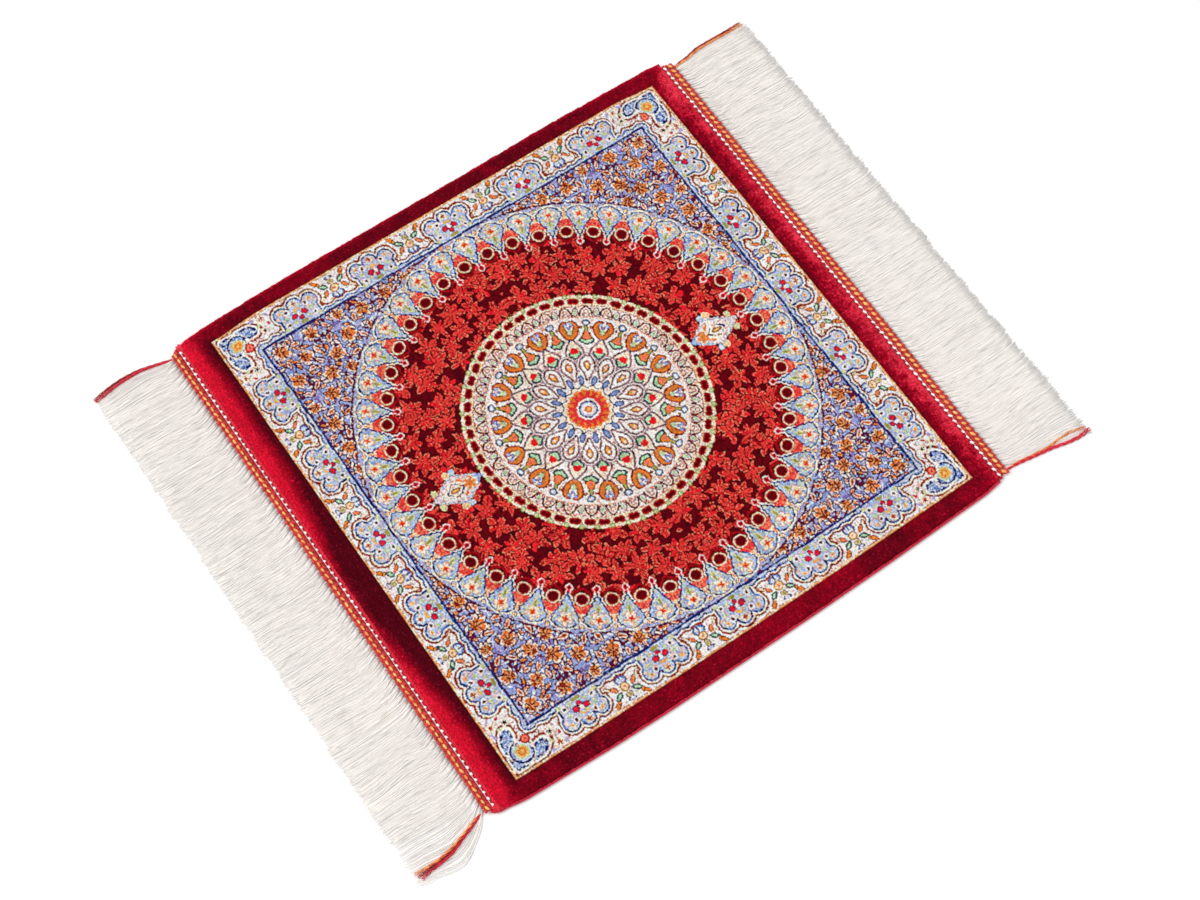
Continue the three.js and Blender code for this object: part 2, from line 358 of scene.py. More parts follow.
light = side_light * (1 - at_end) + np.where(y > 0, far_light, near_light) * at_end
light = np.clip(light + nap_sheen * (0.2 + 0.14 * at_end * (y > 0)), 0, 1)[:, None]
# Painted shade runs from wine to this half-lit red, and painted light on from it to the brighter crimsons.
half_light = np.array((150, 2, 28))
far_share = (at_end * (y > 0))[:, None]
bright = np.array((216, 18, 46)) * (1 - far_share) + np.array((244, 54, 76)) * far_share
dye_and_painted_shading[:] = np.where(
    light < 0.5,
    np.array(yarn["wine"]) * (1 - light * 2) + half_light * light * 2,
    half_light * (2 - light * 2) + bright * (light * 2 - 1),
)
# A few stray knots are painted pinker, as small painted glints on the pile.
dye_and_painted_shading[grain > 0.92] += (26, 12, 20)

# The square's outer guard line, two knots of orange and gold, and the ivory border inside it.
wobble_x = np.clip(HALF_SQUARE - np.abs(x), 0, 6) / 6
depth = HALF_SQUARE - np.maximum(
    np.abs(x + (tied_x - x) * wobble_x),
    np.abs(y + (tied_y - y) * np.clip(HALF_SQUARE - np.abs(y), 0, 6) / 6),
)
along = np.where(np.abs(x) > np.abs(y), tied_y, tied_x)
BORDER_WIDTH = 27.2
border = (HALF_SQUARE > np.maximum(np.abs(x), np.abs(y))) & (depth < BORDER_WIDTH + 0.6)
mottle(border, 2.4, 8, "pink", "ivory", "ivory", "white", "ivory", "ice")

# Five blue lobed panels stand on each side of the border, and ivory medallions hang between them.
PANEL_STEP = 2 * HALF_SQUARE / 6
p = np.abs((along + PANEL_STEP / 2) % PANEL_STEP - PANEL_STEP / 2)
q = PANEL_STEP / 2 - p
to_corner = HALF_SQUARE - np.abs(along)
panel = np.minimum.reduce([
    disc(p, depth, 0, 9.8, 5.5),
    disc(p, depth, 11.4, 12.0, 5.9),
    np.maximum(p - 14.6, 10.0 - depth),
    23.6 + 0.6 * np.cos(q * 0.7) - depth,
])
medallion_between = np.minimum.reduce([
    disc(q, depth, 0, 15.2, 8.3),
    disc(q, depth, 8.0, 16.8, 6.0),
])
panel = np.maximum(panel, 0.4 - medallion_between)
corner_strip = 23.2 + 0.9 * np.sin(to_corner * 0.62) - depth
panel = np.where(to_corner < PANEL_STEP - 19.0, corner_strip, panel)
rust_line = np.where(patches(1.6, 12) > -0.2, 0.0, 0.35)
tie(border, panel - 2.8 + rust_line, (0, "brick"), (0.3, "rust"), (1.3, "peach"), (1.7, "white"))
tie(border, panel, (0, "sky"))
mottle(
    border & (panel < 0), 1.7, 9,
    "lavender", "periwinkle", "sky", "ice", "sky", "pink", "sky", "sage", "lavender",
)
mottle(border & (panel < 0) & (depth > 24.4), 1.8, 10, "periwinkle", "sky", "ice", "sky", "lavender")
dash = patches(1.4, 11) > -0.2
tie(border & ~dash, np.abs(panel + 0.5) - 0.65, (0, "blue"))
tie(border & dash, np.abs(panel + 0.5) - 0.7, (0, "navy"))
in_panel = border & (p < 19) & (to_corner > PANEL_STEP - 19)
figures(
    in_panel, p, depth,
    (oval, (0, 24.2, 3.0, 1.4), (0, "olive")),
    (oval, (13.0, 24.0, 2.0, 1.2), (0, "sage")),
    (oval, (9.7, 16.4, 1.8, 1.4, 0.6), (0, "sage"), (0.8, "mint")),
    (disc, (10.3, 21.6, 2.3), (0, "pink"), (0.3, "white"), (1.2, "maroon")),
    (disc, (5.6, 21.8, 1.2), (0, "sage")),
    (oval, (3.8, 17.6, 2.6, 2.3, 0.5), (0, "plum"), (0.5, "magenta"), (1.5, "red")),
    (oval, (0, 20.4, 1.9, 2.1), (0, "plum"), (0.5, "magenta")),
    (leaf, (0, 17.2, 2.3, 1.2, math.pi / 2), (0, "white")),
    (leaf, (1.4, 13.8, 2.1, 0.9, 0.7), (0, "gold")),
    (disc, (7.4, 12.2, 2.3), (0, "pink"), (0.3, "white"), (1.2, "maroon")),
    (oval, (11.8, 10.6, 2.0, 1.4, 0.7), (0, "peach"), (0.5, "gold"), (0.9, "orange")),
    (disc, (15.0, 13.6, 1.3), (0, "pink")),
    (bloom, (0, 8.8, 1.5, 3.1, 4, 0.8), (0, "cream"), (0.7, "peach")),
    (bloom, (0, 8.8, 0.5, 1.9, 4), (0, "brick")),
)

# A small flower stem hangs in each ivory medallion.
stem = border & (q < 15) & (to_corner > PANEL_STEP)
figures(
    stem, q, depth,
    (leaf, (10.4, 4.2, 3.8, 1.7, 2.4), (0, "rust"), (0.6, "orange")),
    (leaf, (8.9, 6.2, 2.4, 1.2, 1.3), (0, "umber"), (0.5, "orange")),
    (leaf, (11.4, 17.8, 3.0, 1.4, 1.0), (0, "rust"), (0.5, "peach")),
    (leaf, (6.4, 9.4, 3.9, 2.0, 2.5), (0, "slate"), (0.7, "teal"), (1.2, "mint")),
    (turned, ((3.2, 2.0), (4.4, 3.3), (5.8, 1.8)), (0, "navy"), (0.6, "violet"), (1.3, "ice")),
    (turned, ((5.8, 1.2), (7.2, 2.4), (9.2, 2.2), (10.2, 1.0)),
     (0, "umber"), (0.5, "fawn"), (1.4, "olive")),
    (leaf, (7.3, 14.8, 3.5, 1.7, 0.9), (0, "umber"), (0.5, "orange"), (1.2, "salmon")),
    (turned, ((16.0, 3.6), (18.0, 4.7), (20.0, 4.2), (21.2, 2.2)),
     (0, "navy"), (0.7, "blue"), (1.6, "ice")),
    (leaf, (0, 20.0, 3.0, 0.6, math.pi / 2), (0, "navy")),
    (oval, (0, 13.6, 3.3, 3.2), (0, "rust"), (0.6, "gold"), (1.3, "peach"), (2.3, "orange")),
)

# A blue leaf of three lobes fills each corner of the border, with a gold flower and a red bud.
corner_x, corner_y = HALF_SQUARE - np.abs(tied_x), HALF_SQUARE - np.abs(tied_y)
big, small = np.maximum(corner_x, corner_y), np.minimum(corner_x, corner_y)
in_corner = border & (big < 46)
diagonal, aside = (big + small) * 0.7071, (big - small) * 0.7071
lobes = np.minimum.reduce([
    turned(aside, diagonal, (6.4, 0.4), (9.5, 4.0), (14.0, 7.2), (18.5, 8.2), (22.0, 7.0), (24.0, 4.0)),
    oval(big, small, 24.8, 9.4, 6.8, 4.2, 0.45),
    disc(big, small, 18.6, 8.2, 4.0),
])
lobe_rings = (0, "brick"), (0.3, "rust"), (1.3, "peach"), (1.7, "white"), (3.0, "blue")
tie(in_corner & (big < 36), lobes - 3.0, *lobe_rings)
mottle(in_corner & (lobes < 0), 1.7, 13, "navy", "blue", "blue", "sky", "ice", "blue", "periwinkle", "ice")
tie(in_corner & dash, np.abs(lobes + 0.5) - 0.7, (0, "navy"))
tie(in_corner & (lobes < 0), np.abs(disc(big, small, 13.6, 13.6, 7.4)) - 0.6, (0, "navy"))
tie(in_corner & (big - small > 5), np.abs(disc(big, small, 13.6, 13.6, 8.5)) - 0.45, (0, "ivory"))
gold_rings = (0, "ice"), (0.8, "sage"), (1.7, "gold"), (3.0, "orange"), (4.0, "gold")
tie(in_corner, bloom(big, small, 13.6, 13.6, 5.0, 5.8, 6), *gold_rings)
hatch = np.sin((big - small) * 2.4) > 0.1
tie(in_corner & hatch, oval(big, small, 27.4, 17.4, 4.0, 1.3, 0.5), (0, "brick"))
figures(
    in_corner, big, small,
    (disc, (19.8, 19.8, 3.6), (0, "rust"), (0.6, "coral"), (1.4, "salmon"), (2.6, "crimson")),
    (bloom, (37.2, 5.6, 2.2, 3.6, 5), (0, "peach"), (0.7, "cream"), (1.6, "brick")),
    (bloom, (35.8, 15.2, 2.4, 3.8, 5), (0, "pink"), (0.7, "cream"), (2.0, "umber")),
    (leaf, (31.0, 4.0, 2.6, 1.0, -0.5), (0, "lavender")),
    (leaf, (41.8, 5.0, 2.6, 1.0, 0.8), (0, "lavender")),
    (leaf, (40.6, 11.6, 2.0, 0.9, 1.0), (0, "magenta")),
    (leaf, (33.4, 9.8, 2.2, 0.9, 2.2), (0, "sage")),
)
guard = border & (depth < 2.0)
tie(guard, depth * 0 - 1, (0, "peach"))
tie(guard & (patches(1.6, 14) > -0.2), depth - 1.2, (0, "apricot"))
tie(guard & (patches(1.4, 48) > 0.1), np.abs(depth - 1.9) - 0.4, (0, "brick"))
tie(border, np.abs(depth - BORDER_WIDTH) - 1.1, (0, "navy"))
tie(border & (patches(1.5, 15) > 0.7), np.abs(depth - BORDER_WIDTH) - 1.1, (0, "blue"))

# The four corner fields: periwinkle ground, full of plum vines, small leaves and rust and orange lilies.
CIRCLE = 156.0
inside = depth > BORDER_WIDTH + 0.6
field = inside & (radius > CIRCLE - 2)
mottle(inside, 3.0, 16, "periwinkle", "lavender", "cornflower", "periwinkle", "lavender")
tie(field & (patches(1.8, 17) > 0.0), np.abs(depth - BORDER_WIDTH - 2.4) - 0.45, (0, "plum"))
LEAF_STEP = 4.1
leaf_rng = np.random.default_rng(41)
leaf_shift = leaf_rng.uniform(-0.42, 0.42, (64, 64, 2))
leaf_turn = leaf_rng.uniform(0, math.pi, (64, 64))
leaf_kind = leaf_rng.uniform(0, 1, (64, 64))
cell_x, cell_y = np.floor(big / LEAF_STEP).astype(int), np.floor(small / LEAF_STEP).astype(int)
vine = np.abs(value_noise(big, small, 5.0, 18)) * 5.0
tie(field, vine - 0.75, (0, "plum"))
for step_x in (-1, 0, 1):
    for step_y in (-1, 0, 1):
        column, row = (cell_x + step_x) % 64, (cell_y + step_y) % 64
        dx = big - (cell_x + step_x + 0.5 + leaf_shift[row, column, 0]) * LEAF_STEP
        dy = small - (cell_y + step_y + 0.5 + leaf_shift[row, column, 1]) * LEAF_STEP
        c, s = np.cos(leaf_turn[row, column]), np.sin(leaf_turn[row, column])
        sprig = np.abs(dy * c - dx * s) - 0.9 * (1 - ((dx * c + dy * s) / 2.5) ** 2)
        kind = leaf_kind[row, column]
        tie(field & (kind < 0.62), sprig - 1.0 + 0.4 * (dy * c - dx * s > 0), (0, "plum"))
        tie(field & (kind < 0.62), sprig, (0, "pink"))
        tie(field & (kind < 0.44), sprig, (0.25, "amber"))
        tie(field & (kind > 0.62) & (kind < 0.74), sprig, (0, "violet"))
        tie(field & (kind > 0.74) & (kind < 0.84), sprig, (0, "ice"))
# Each lily's place from the corner of the square, its size, and the way it opens, in quarter turns.
lilies = (
    (34.8, 35.2, 6.0, 0.5), (59.5, 35.6, 5.8, -0.8), (46.6, 47.4, 6.2, 0.5), (82.5, 33.4, 4.8, -0.9),
    (99.5, 36.2, 6.4, 0.9), (118.5, 34.8, 5.8, 0.6), (66.0, 57.0, 6.0, -0.4), (79.6, 47.6, 6.2, 0.3),
    (70.0, 70.0, 5.8, 0.5), (136.0, 33.4, 4.6, 0.3), (154.0, 32.6, 4.0, 0.8),
)
for lily_x, lily_y, size, turn in lilies:
    dx, dy = big - lily_x, small - lily_y
    toward = np.arctan2(dy, dx) - turn * math.pi / 2
    toward = (toward + math.pi) % (2 * math.pi) - math.pi
    away = np.hypot(dx, dy)
    toward += 0.25 * patches(2.4, 21)
    petal = np.abs(np.cos(toward * 3.5))
    reach = size * (0.6 + 0.3 * np.cos(toward) + 0.42 * petal ** 1.2) + 0.5 * patches(1.6, 58)
    shape = away - reach
    tie(field, shape - 0.8, (0, "plum"))
    tie(field, shape, (0, "pink"), (0.9, "peach"), (1.6, "amber"))
    tie(field & (petal < 0.4), shape, (0.2, "plum"), (1.4, "rust"))
    tie(field & (petal > 0.86), away - size * 0.62, (0, "apricot"))
    tie(field & (petal < 0.86), away - size * 0.5, (0, "rust"))
    tie(field & (np.cos(toward) < -0.4), shape, (0.8, "amber"), (1.6, "rust"), (3.2, "umber"))
# Its small buds: place from the corner, and size.
buds = (
    (79.5, 63.0, 3.0), (89.5, 54.0, 3.0), (97.6, 50.0, 3.0), (111.0, 42.0, 3.0), (54.2, 54.2, 2.8),
    (57.0, 47.0, 2.6), (69.0, 43.6, 3.0), (46.8, 35.0, 2.6), (72.0, 34.0, 2.8), (91.0, 40.0, 2.8),
    (127.0, 37.0, 2.8), (36.0, 46.0, 2.6), (108.0, 31.6, 2.4), (145.0, 31.8, 2.4),
)
for number, (bud_x, bud_y, size) in enumerate(buds):
    shape = leaf(big, small, bud_x, bud_y, size * 1.35, size * 0.6, 0.9 * number)
    shape += 0.5 * patches(1.8, 59)
    tie(field, shape - 0.9, (0, "plum"))
    tie(field, shape, (0, "pink"), (0.7, "amber"), (1.3, "rust"))

# A pale blue band closes the circle, and inside it stand forty-four blue flower heads, points inward.
circle = inside & (radius < CIRCLE + 1.8)
mottle(circle, 2.0, 19, "plum", "periwinkle", "lavender", "sky", "mauve", "lavender", "apricot")
HEADS = 44
across, outward = around(HEADS)
flame_x, flame_r = around(HEADS, math.pi / HEADS)
ring = inside & (radius < CIRCLE + 1.4)
head = turned(
    across, outward,
    (131.2, 0.1), (134.0, 1.5), (137.5, 3.4), (141.0, 5.0), (143.0, 7.0), (145.0, 7.2),
    (147.6, 9.4), (151.0, 9.7), (153.4, 8.0), (155.2, 5.0), (156.4, 2.4),
) + 0.35 * np.sin(outward * 1.9)
flame = turned(
    flame_x, flame_r,
    (127.4, 0.8), (131.0, 5.6), (135.2, 7.0), (138.4, 6.2),
    (141.4, 4.2), (144.6, 2.4), (147.4, 1.2), (151.4, 0.3),
)
tie(ring & (radius < 143), head - 400, (0, "maroon"))
tie(ring, head - 1.1, (0, "cream"), (1.1, "sky"))
mottle(ring & (head < 0), 1.6, 22, "blue", "periwinkle", "sky", "sky", "sage", "ice", "lavender")
tick = patches(1.3, 23) > -0.45
tie(ring & tick, np.abs(head + 0.6) - 0.6, (0, "navy"))
tie(ring & ~tick, np.abs(head + 0.6) - 0.6, (0, "blue"))
tie(ring & (head > 1.1), flame - 0.5, (0, "maroon"))
tie(ring & (flame_r > 140.8) & (head > 0), flame - 0.9, (0, "cream"))
tie(ring & (head > 0.9), flame, (0, "blood"), (1.4, "maroon"))
tie(ring & (flame_r > 144.4), flame, (0, "apricot"), (0.6, "peach"))
tie(ring & (flame_r > 140.2) & (flame_r < 145.4), flame - 0.5, (0, "coral"))
glow = ring & (flame_r > 139.4) & (flame_r < 145.6) & (flame < 0.5)
mottle(glow, 1.6, 24, "coral", "coral", "salmon", "red")
eye = oval(flame_x, flame_r, 0, 135.6, 5.0, 4.7)
tie(ring, eye, (0, "apricot"), (0.2, "peach"), (0.9, "brick"), (1.2, "blood"), (1.8, "maroon"))
figures(
    ring, across, outward,
    (turned, ((139.0, 0.4), (142.4, 1.9), (145.6, 1.4)), (0, "sage"), (0.9, "olive")),
    (bloom, (0, 149.8, 2.8, 5.6, 5, math.pi / 2), (0, "apricot"), (0.5, "cream"), (2.4, "peach")),
    (bloom, (0, 149.8, 1.1, 2.4, 4, 0.4), (0, "orange"), (0.7, "red")),
)
tie(ring, disc(flame_x, flame_r, 0, 154.6, 1.7), (0, "plum"), (0.4, "peach"), (1.1, "orange"))

tie(inside & (patches(1.6, 65) > -0.1), np.abs(radius - 158.6) - 0.8, (0, "plum"))

# The red ground between the circle and the medallion: dark maroon, crowded with jagged coral flowers.
FIELD_OUTER = 131.6
red = inside & (radius < FIELD_OUTER) & (head > 0.9) & (flame > 0.5)
mottle(red, 2.6, 25, "wine", "wine", "maroon", "maroon", "wine")
FLOWER_STEP = 15.0
flower_rng = np.random.default_rng(9)
flower_shift = flower_rng.uniform(-0.2, 0.2, (32, 32, 2))
flower_turn = flower_rng.uniform(0, 2 * math.pi, (32, 32))
flower_petals = flower_rng.choice([5, 6, 7], (32, 32))
flower_size = flower_rng.uniform(7.9, 10.4, (32, 32))
fold_x, fold_y = np.abs(tied_x), np.abs(tied_y)
column_step = np.floor(fold_x / FLOWER_STEP).astype(int)
row_step = np.floor(fold_y / FLOWER_STEP).astype(int)
jagged = 0.8 * patches(1.7, 26) + 1.5 * patches(4.2, 27)
for step_x in (-1, 0, 1):
    for step_y in (-1, 0, 1):
        column, row = column_step + step_x, row_step + step_y
        offset = 0.5 * (row % 2)
        dx = fold_x - (column + 0.5 + offset * 0.9 + flower_shift[row % 32, column % 32, 0]) * FLOWER_STEP
        dy = fold_y - (row + 0.5 + flower_shift[row % 32, column % 32, 1]) * FLOWER_STEP
        petals = flower_petals[row % 32, column % 32]
        turns = (np.arctan2(dy, dx) - flower_turn[row % 32, column % 32]) / (2 * math.pi) * petals
        size = flower_size[row % 32, column % 32]
        away = np.hypot(dx, dy)
        spike = 1 - 2 * np.abs(turns % 1 - 0.5)
        tone = (np.floor(turns) * 3 + row * 5 + column * 7).astype(int) % 5
        shape = away - size * (0.5 + 0.5 * spike) * (0.82 + 0.09 * tone) + jagged
        tie(red, shape - 0.9, (0, "wine"))
        tie(red, shape, (0, "coral"), (0.9, "rose"))
        tie(red & (tone == 0), shape, (0.2, "red"))
        tie(red & (patches(2.8, 28) > 0.3), np.abs(shape + 0.5) - 0.5, (0, "tangerine"))
        tie(red & (spike < 0.14) & (away > 1.8), shape, (0, "maroon"))
        tie(red & (spike > 0.9) & (away > 2.6) & (tone > 1), shape, (1.4, "blood"))
hatch = np.abs(patches(3.0, 29))
tie(red & (hatch < 0.11) & (dye_and_painted_shading[:, 0] > 180), radius - 400, (0, "blood"))
tie(red & (hatch > 0.09) & (hatch < 0.16) & (dye_and_painted_shading[:, 0] > 210), radius - 400, (0, "tangerine"))
bud = turned(across, outward, (124.8, 0.2), (126.4, 2.2), (128.4, 3.0), (130.0, 1.6), (131.4, 2.4))
bud_place = inside & (radius < 133) & (eye > 0.4)
tie(bud_place, bud, (0, "coral"), (0.3, "pink"), (1.1, "crimson"), (1.9, "blood"))

# The round medallion: a chain of dark red dashes on cream round its rim, with small green buds outside it.
MEDALLION = 86.2
round_field = inside & (radius < MEDALLION)
LINKS = 52
link_x, link_r = around(LINKS, math.pi / 2)
gap_x, gap_r = around(LINKS, math.pi / 2 + math.pi / LINKS)
mottle(round_field, 1.4, 31, "apricot", "fawn", "cream", "peach", "cream", "peach", "gold")
tie(round_field & (grain > -0.2), np.abs(radius - 77.6) - 0.4, (0, "brick"))
tie(round_field & (radius > 77.8) & (grain > -0.2), np.abs(gap_x) - 0.3, (0, "fawn"))
link = oval(link_x, link_r, 0, 81.4, 4.9, 4.2)
tie(round_field & (radius > 82.0) & (link > 0.6), radius - 400, (0, "maroon"))
tie(round_field & (radius > 82.0), np.abs(link) - 0.8, (0, "peach"), (0.3, "cream"))
dash_shape = np.minimum(
    disc(np.abs(link_x), link_r, 1.5, 81.4, 2.1),
    np.maximum(np.abs(link_x) - 1.6, np.abs(link_r - 81.4) - 1.6),
)
tie(round_field, dash_shape - 0.5, (0, "brick"), (0.5, "blood"), (1.3, "maroon"))
tie(inside, disc(gap_x, gap_r, 0, 84.8, 1.9), (0, "olive"), (0.7, "sage"))

# Plain bells and slim buds, by turns, run in a band inside the chain.
BELLS = 32
bell_x, bell_r = around(BELLS, math.pi / 2)
valley_x, valley_r = around(BELLS, math.pi / 2 + math.pi / BELLS)
band = inside & (radius < 77.2)
mottle(band, 1.5, 32, "apricot", "pink", "ivory", "white", "pink", "peach", "apricot")
bell = turned(bell_x, bell_r, (69.8, 4.6), (71.4, 4.2), (73.8, 3.7), (75.8, 2.6), (76.9, 0.8))
mottle(band & (bell < 0), 1.5, 33, "pink", "cream", "peach", "ivory")
tie(band, np.abs(bell + 0.2) - 0.6, (0, "plum"))
tie(band & (patches(1.2, 34) > 0.1), np.abs(bell + 0.2) - 0.6, (0, "rust"))
tie(band, disc(np.abs(bell_x), bell_r, 1.9, 71.0, 1.0), (0, "mauve"))
tie(band, disc(bell_x, bell_r, 0, 73.4, 1.7), (0, "brick"), (0.5, "pink"), (1.0, "white"))
sprout = turned(valley_x, valley_r, (69.9, 0.6), (71.6, 2.3), (74.0, 2.0), (76.6, 0.3))
tie(band, sprout - 0.3, (0, "slate"), (0.7, "pink"), (1.4, "mint"))
tie(band & (grain > -0.3), np.abs(radius - 69.3) - 0.4, (0, "apricot"))

# Sixteen hearts, and sixteen small buds on orange calyxes between them.
PETALS = 16
heart_x, heart_r = around(PETALS)
bud_x, bud_r = around(PETALS, math.pi / PETALS)
heart = inside & (radius < 69.0)
fold = np.abs(heart_x)
mottle(heart, 1.7, 35, "peach", "white", "ivory", "white", "pink")
heart_shape = turned(
    heart_x, heart_r,
    (51.8, 0.2), (53.6, 3.0), (56.0, 5.0), (58.8, 6.4), (61.4, 6.8), (63.8, 6.2), (65.4, 4.8), (66.4, 3.2),
)
heart_shape = np.maximum(heart_shape, -disc(heart_x, heart_r, 0, 67.0, 1.7))
tie(heart, heart_shape - 0.5, (0, "rust"), (1.0, "amber"), (1.7, "orange"), (2.6, "tan"))
opening = turned(
    heart_x, heart_r,
    (56.0, 0.4), (58.0, 2.0), (60.6, 3.1), (63.2, 3.4), (65.2, 2.3), (66.0, 1.0),
)
tie(heart, opening - 0.2, (0, "rust"), (0.8, "peach"), (1.2, "white"))
figures(
    heart, fold, heart_r,
    (oval, (0, 58.2, 1.7, 2.1), (0, "mint"), (0.8, "sage")),
    (disc, (2.0, 63.8, 1.5), (0, "violet"), (0.5, "sky")),
    (disc, (0, 61.6, 1.4), (0, "violet"), (0.6, "periwinkle")),
    (disc, (0, 63.6, 0.9), (0, "white")),
)
bowl = turned(bud_x, bud_r, (48.0, 0.5), (49.2, 3.0), (50.8, 5.2), (52.2, 5.4), (53.0, 4.2))
tie(heart, bowl - 0.3, (0, "slate"), (0.9, "teal"), (1.6, "mint"))
calyx = turned(bud_x, bud_r, (51.6, 0.4), (53.0, 3.4), (54.4, 3.8), (55.6, 2.4), (57.4, 2.2), (59.0, 0.9))
tie(heart, calyx - 0.3, (0, "umber"), (0.8, "orange"), (1.8, "salmon"))
tie(heart, turned(bud_x, bud_r, (58.4, 1.4), (60.4, 1.7), (62.8, 1.2)), (0, "umber"), (0.6, "olive"))
tie(heart, oval(bud_x, bud_r, 0, 65.0, 3.1, 2.5), (0, "slate"), (0.8, "sky"), (1.5, "white"))
tie(heart, disc(np.abs(bud_x), bud_r, 3.6, 61.4, 1.1), (0, "umber"), (0.6, "orange"))

# Inside the hearts, drops with red buds, then drops with tan seeds, each set in a mauve line.
rose = inside & (radius < 53.4)
rose_drop = turned(
    heart_x, heart_r,
    (36.8, 1.6), (38.4, 3.8), (40.6, 5.4), (42.8, 5.7), (45.4, 4.8), (48.0, 3.1), (50.4, 1.4), (52.4, 0.1),
)
twist = patches(1.2, 39) > -0.1
tie(rose, rose_drop - 1.3, (0, "mauve"), (1.5, "cream"))
tie(rose & twist, np.abs(rose_drop - 0.6) - 0.55, (0, "plum"))
seeds = inside & (radius < 42)
seed_drop = turned(
    bud_x, bud_r,
    (22.4, 0.2), (25.0, 1.2), (28.0, 3.0), (31.0, 4.2), (33.2, 4.5), (35.6, 3.9), (37.8, 2.2), (39.0, 0.5),
)
tie(seeds & (radius < 34), seed_drop * 0 - 1, (0, "ivory"))
tie(seeds & (radius > 28), seed_drop - 2.8, (0, "mauve"), (0.9, "ivory"))
tie(seeds, seed_drop - 1.4, (0, "mauve"), (1.4, "ivory"), (2.1, "white"))
tie(seeds & twist, np.abs(seed_drop - 0.7) - 0.55, (0, "plum"))
cup = turned(heart_x, heart_r, (37.6, 0.8), (39.2, 3.0), (41.0, 4.4), (42.4, 4.6), (43.2, 3.8))
tie(rose, cup, (0, "slate"), (0.8, "teal"), (1.4, "mint"))
tie(rose, np.maximum(oval(heart_x, heart_r, 0, 43.6, 2.8, 3.0), 42.0 - heart_r), (0, "coral"), (0.6, "red"))
kernel = turned(bud_x, bud_r, (27.8, 0.3), (29.8, 1.6), (32.0, 2.5), (34.2, 2.4), (36.4, 0.5))
tie(seeds, kernel, (0, "slate"), (0.6, "tan"), (1.3, "gold"))
tie(seeds, disc(bud_x, bud_r, 0, 33.4, 0.9), (0, "white"))

# At the middle, blue beads, a wavy blue line, an orange-red rosette and a gold eye in white and blue rings.
middle = inside & (radius < 26.4)
angle = np.arctan2(tied_y, tied_x)
tie(middle, oval(heart_x, heart_r, 0, 21.6, 2.1, 3.9), (0, "navy"), (0.5, "blue"), (1.3, "periwinkle"))
wave = radius - 16.9 - 0.8 * np.cos(PETALS * angle)
tie(middle, wave, (-0.5, "slate"), (0.4, "cream"))
rosette = radius - 13.7 - 1.3 * np.abs(np.cos(PETALS / 2 * angle))
tie(middle, rosette, (0, "orange"), (0.9, "coral"))
tie(middle & (np.cos(PETALS * angle) > 0.35) & (radius > 10.6), rosette, (0.4, "gold"), (1.2, "orange"))
eye_rings = (0, "white"), (1.5, "navy"), (2.5, "sky"), (3.5, "white"), (5.4, "orange"), (6.6, "gold")
tie(middle, radius - 8.0, *eye_rings)

# Two small pale lozenges hang in the red ground, on the line through the middle along the warps.
hang = inside & (radius > 85) & (radius < 127)
side, out = np.abs(tied_x), np.abs(tied_y)
lozenge = turned(
    side, out,
    (87.0, 0.6), (92.0, 3.6), (99.0, 8.4), (105.4, 11.0), (112.0, 7.4), (119.0, 3.2), (124.4, 0.3),
)
figures(
    hang, side, out,
    (disc, (12.6, 107.4, 2.8), (0, "peach"), (0.8, "gold"), (1.6, "peach")),
    (disc, (12.8, 102.6, 2.2), (0, "sky"), (0.8, "ice")),
    (disc, (5.4, 120.6, 2.4), (0, "fawn"), (0.9, "sage")),
)
lozenge = lozenge + 0.8 * patches(2.2, 60) - 0.6
mottle(hang & (lozenge < 0), 1.6, 36, "lavender", "sky", "ice", "mauve", "pink", "ice", "lavender")
mottle(hang & (lozenge < -1.6), 1.7, 37, "ice", "peach", "white", "ivory", "pink", "ice", "apricot")
mottle(hang & (lozenge < -4.6), 1.7, 37, "ivory", "white", "peach", "white", "ivory")
hanging_bloom = bloom(side, out, 0, 96.4, 3.0, 5.6, 6, math.pi / 2)
tie(hang, hanging_bloom, (0, "peach"), (0.8, "apricot"), (2.0, "orange"))
vee = turned(side, out, (100.6, 0.2), (104.6, 4.2), (108.0, 4.8), (113.8, 0.4))
tie(hang & (patches(1.4, 38) > -0.3), np.abs(vee) - 0.5, (0, "navy"))
tie(hang, leaf(side, out, 0, 107.6, 4.6, 1.9, math.pi / 2), (0, "slate"), (0.6, "tan"), (1.3, "gold"))
tie(hang, leaf(side, out, 5.4, 101.6, 2.4, 1.1, 0.8), (0, "orange"))
tie(hang & (out < 91.0), lozenge, (0, "periwinkle"), (1.2, "sky"))

# The medallion is tied in warmer yarns than the border, and stray darker knots fleck the pale grounds.
# The dye takes a little unevenly from knot to knot, and in faint bands along the wefts.
dye_and_painted_shading[inside & (radius < 77)] *= (1.0, 0.965, 0.955)
pale = dye_and_painted_shading.sum(-1) > 600
dye_and_painted_shading[pale & (patches(1.15, 40) > 0.5)] *= (0.88, 0.74, 0.70)
knot_rng = np.random.default_rng(7)
shade = 1 + 0.09 * knot_rng.standard_normal(x.size) + 0.04 * value_noise(x * 0.12, y, 2.4, 30)
dye_and_painted_shading = np.clip(dye_and_painted_shading * np.clip(shade, 0.78, 1.2)[:, None], 0, 255)

# The knots laid out in the rug's real outline: the square bulges a little at its sides, the plain edge
# fills what is left, and the nap rolls over its rim and leans to the left.
RIGHT_SETBACK = 1.5
RIM = 2.6
RIM_DROP, RIGHT_RIM_DROP = 2.7, 1.7
LEAN = 0.2
TUFT_RISE = 0.34
SQUARE_NEAR, SQUARE_FAR = -186.0, 183.8

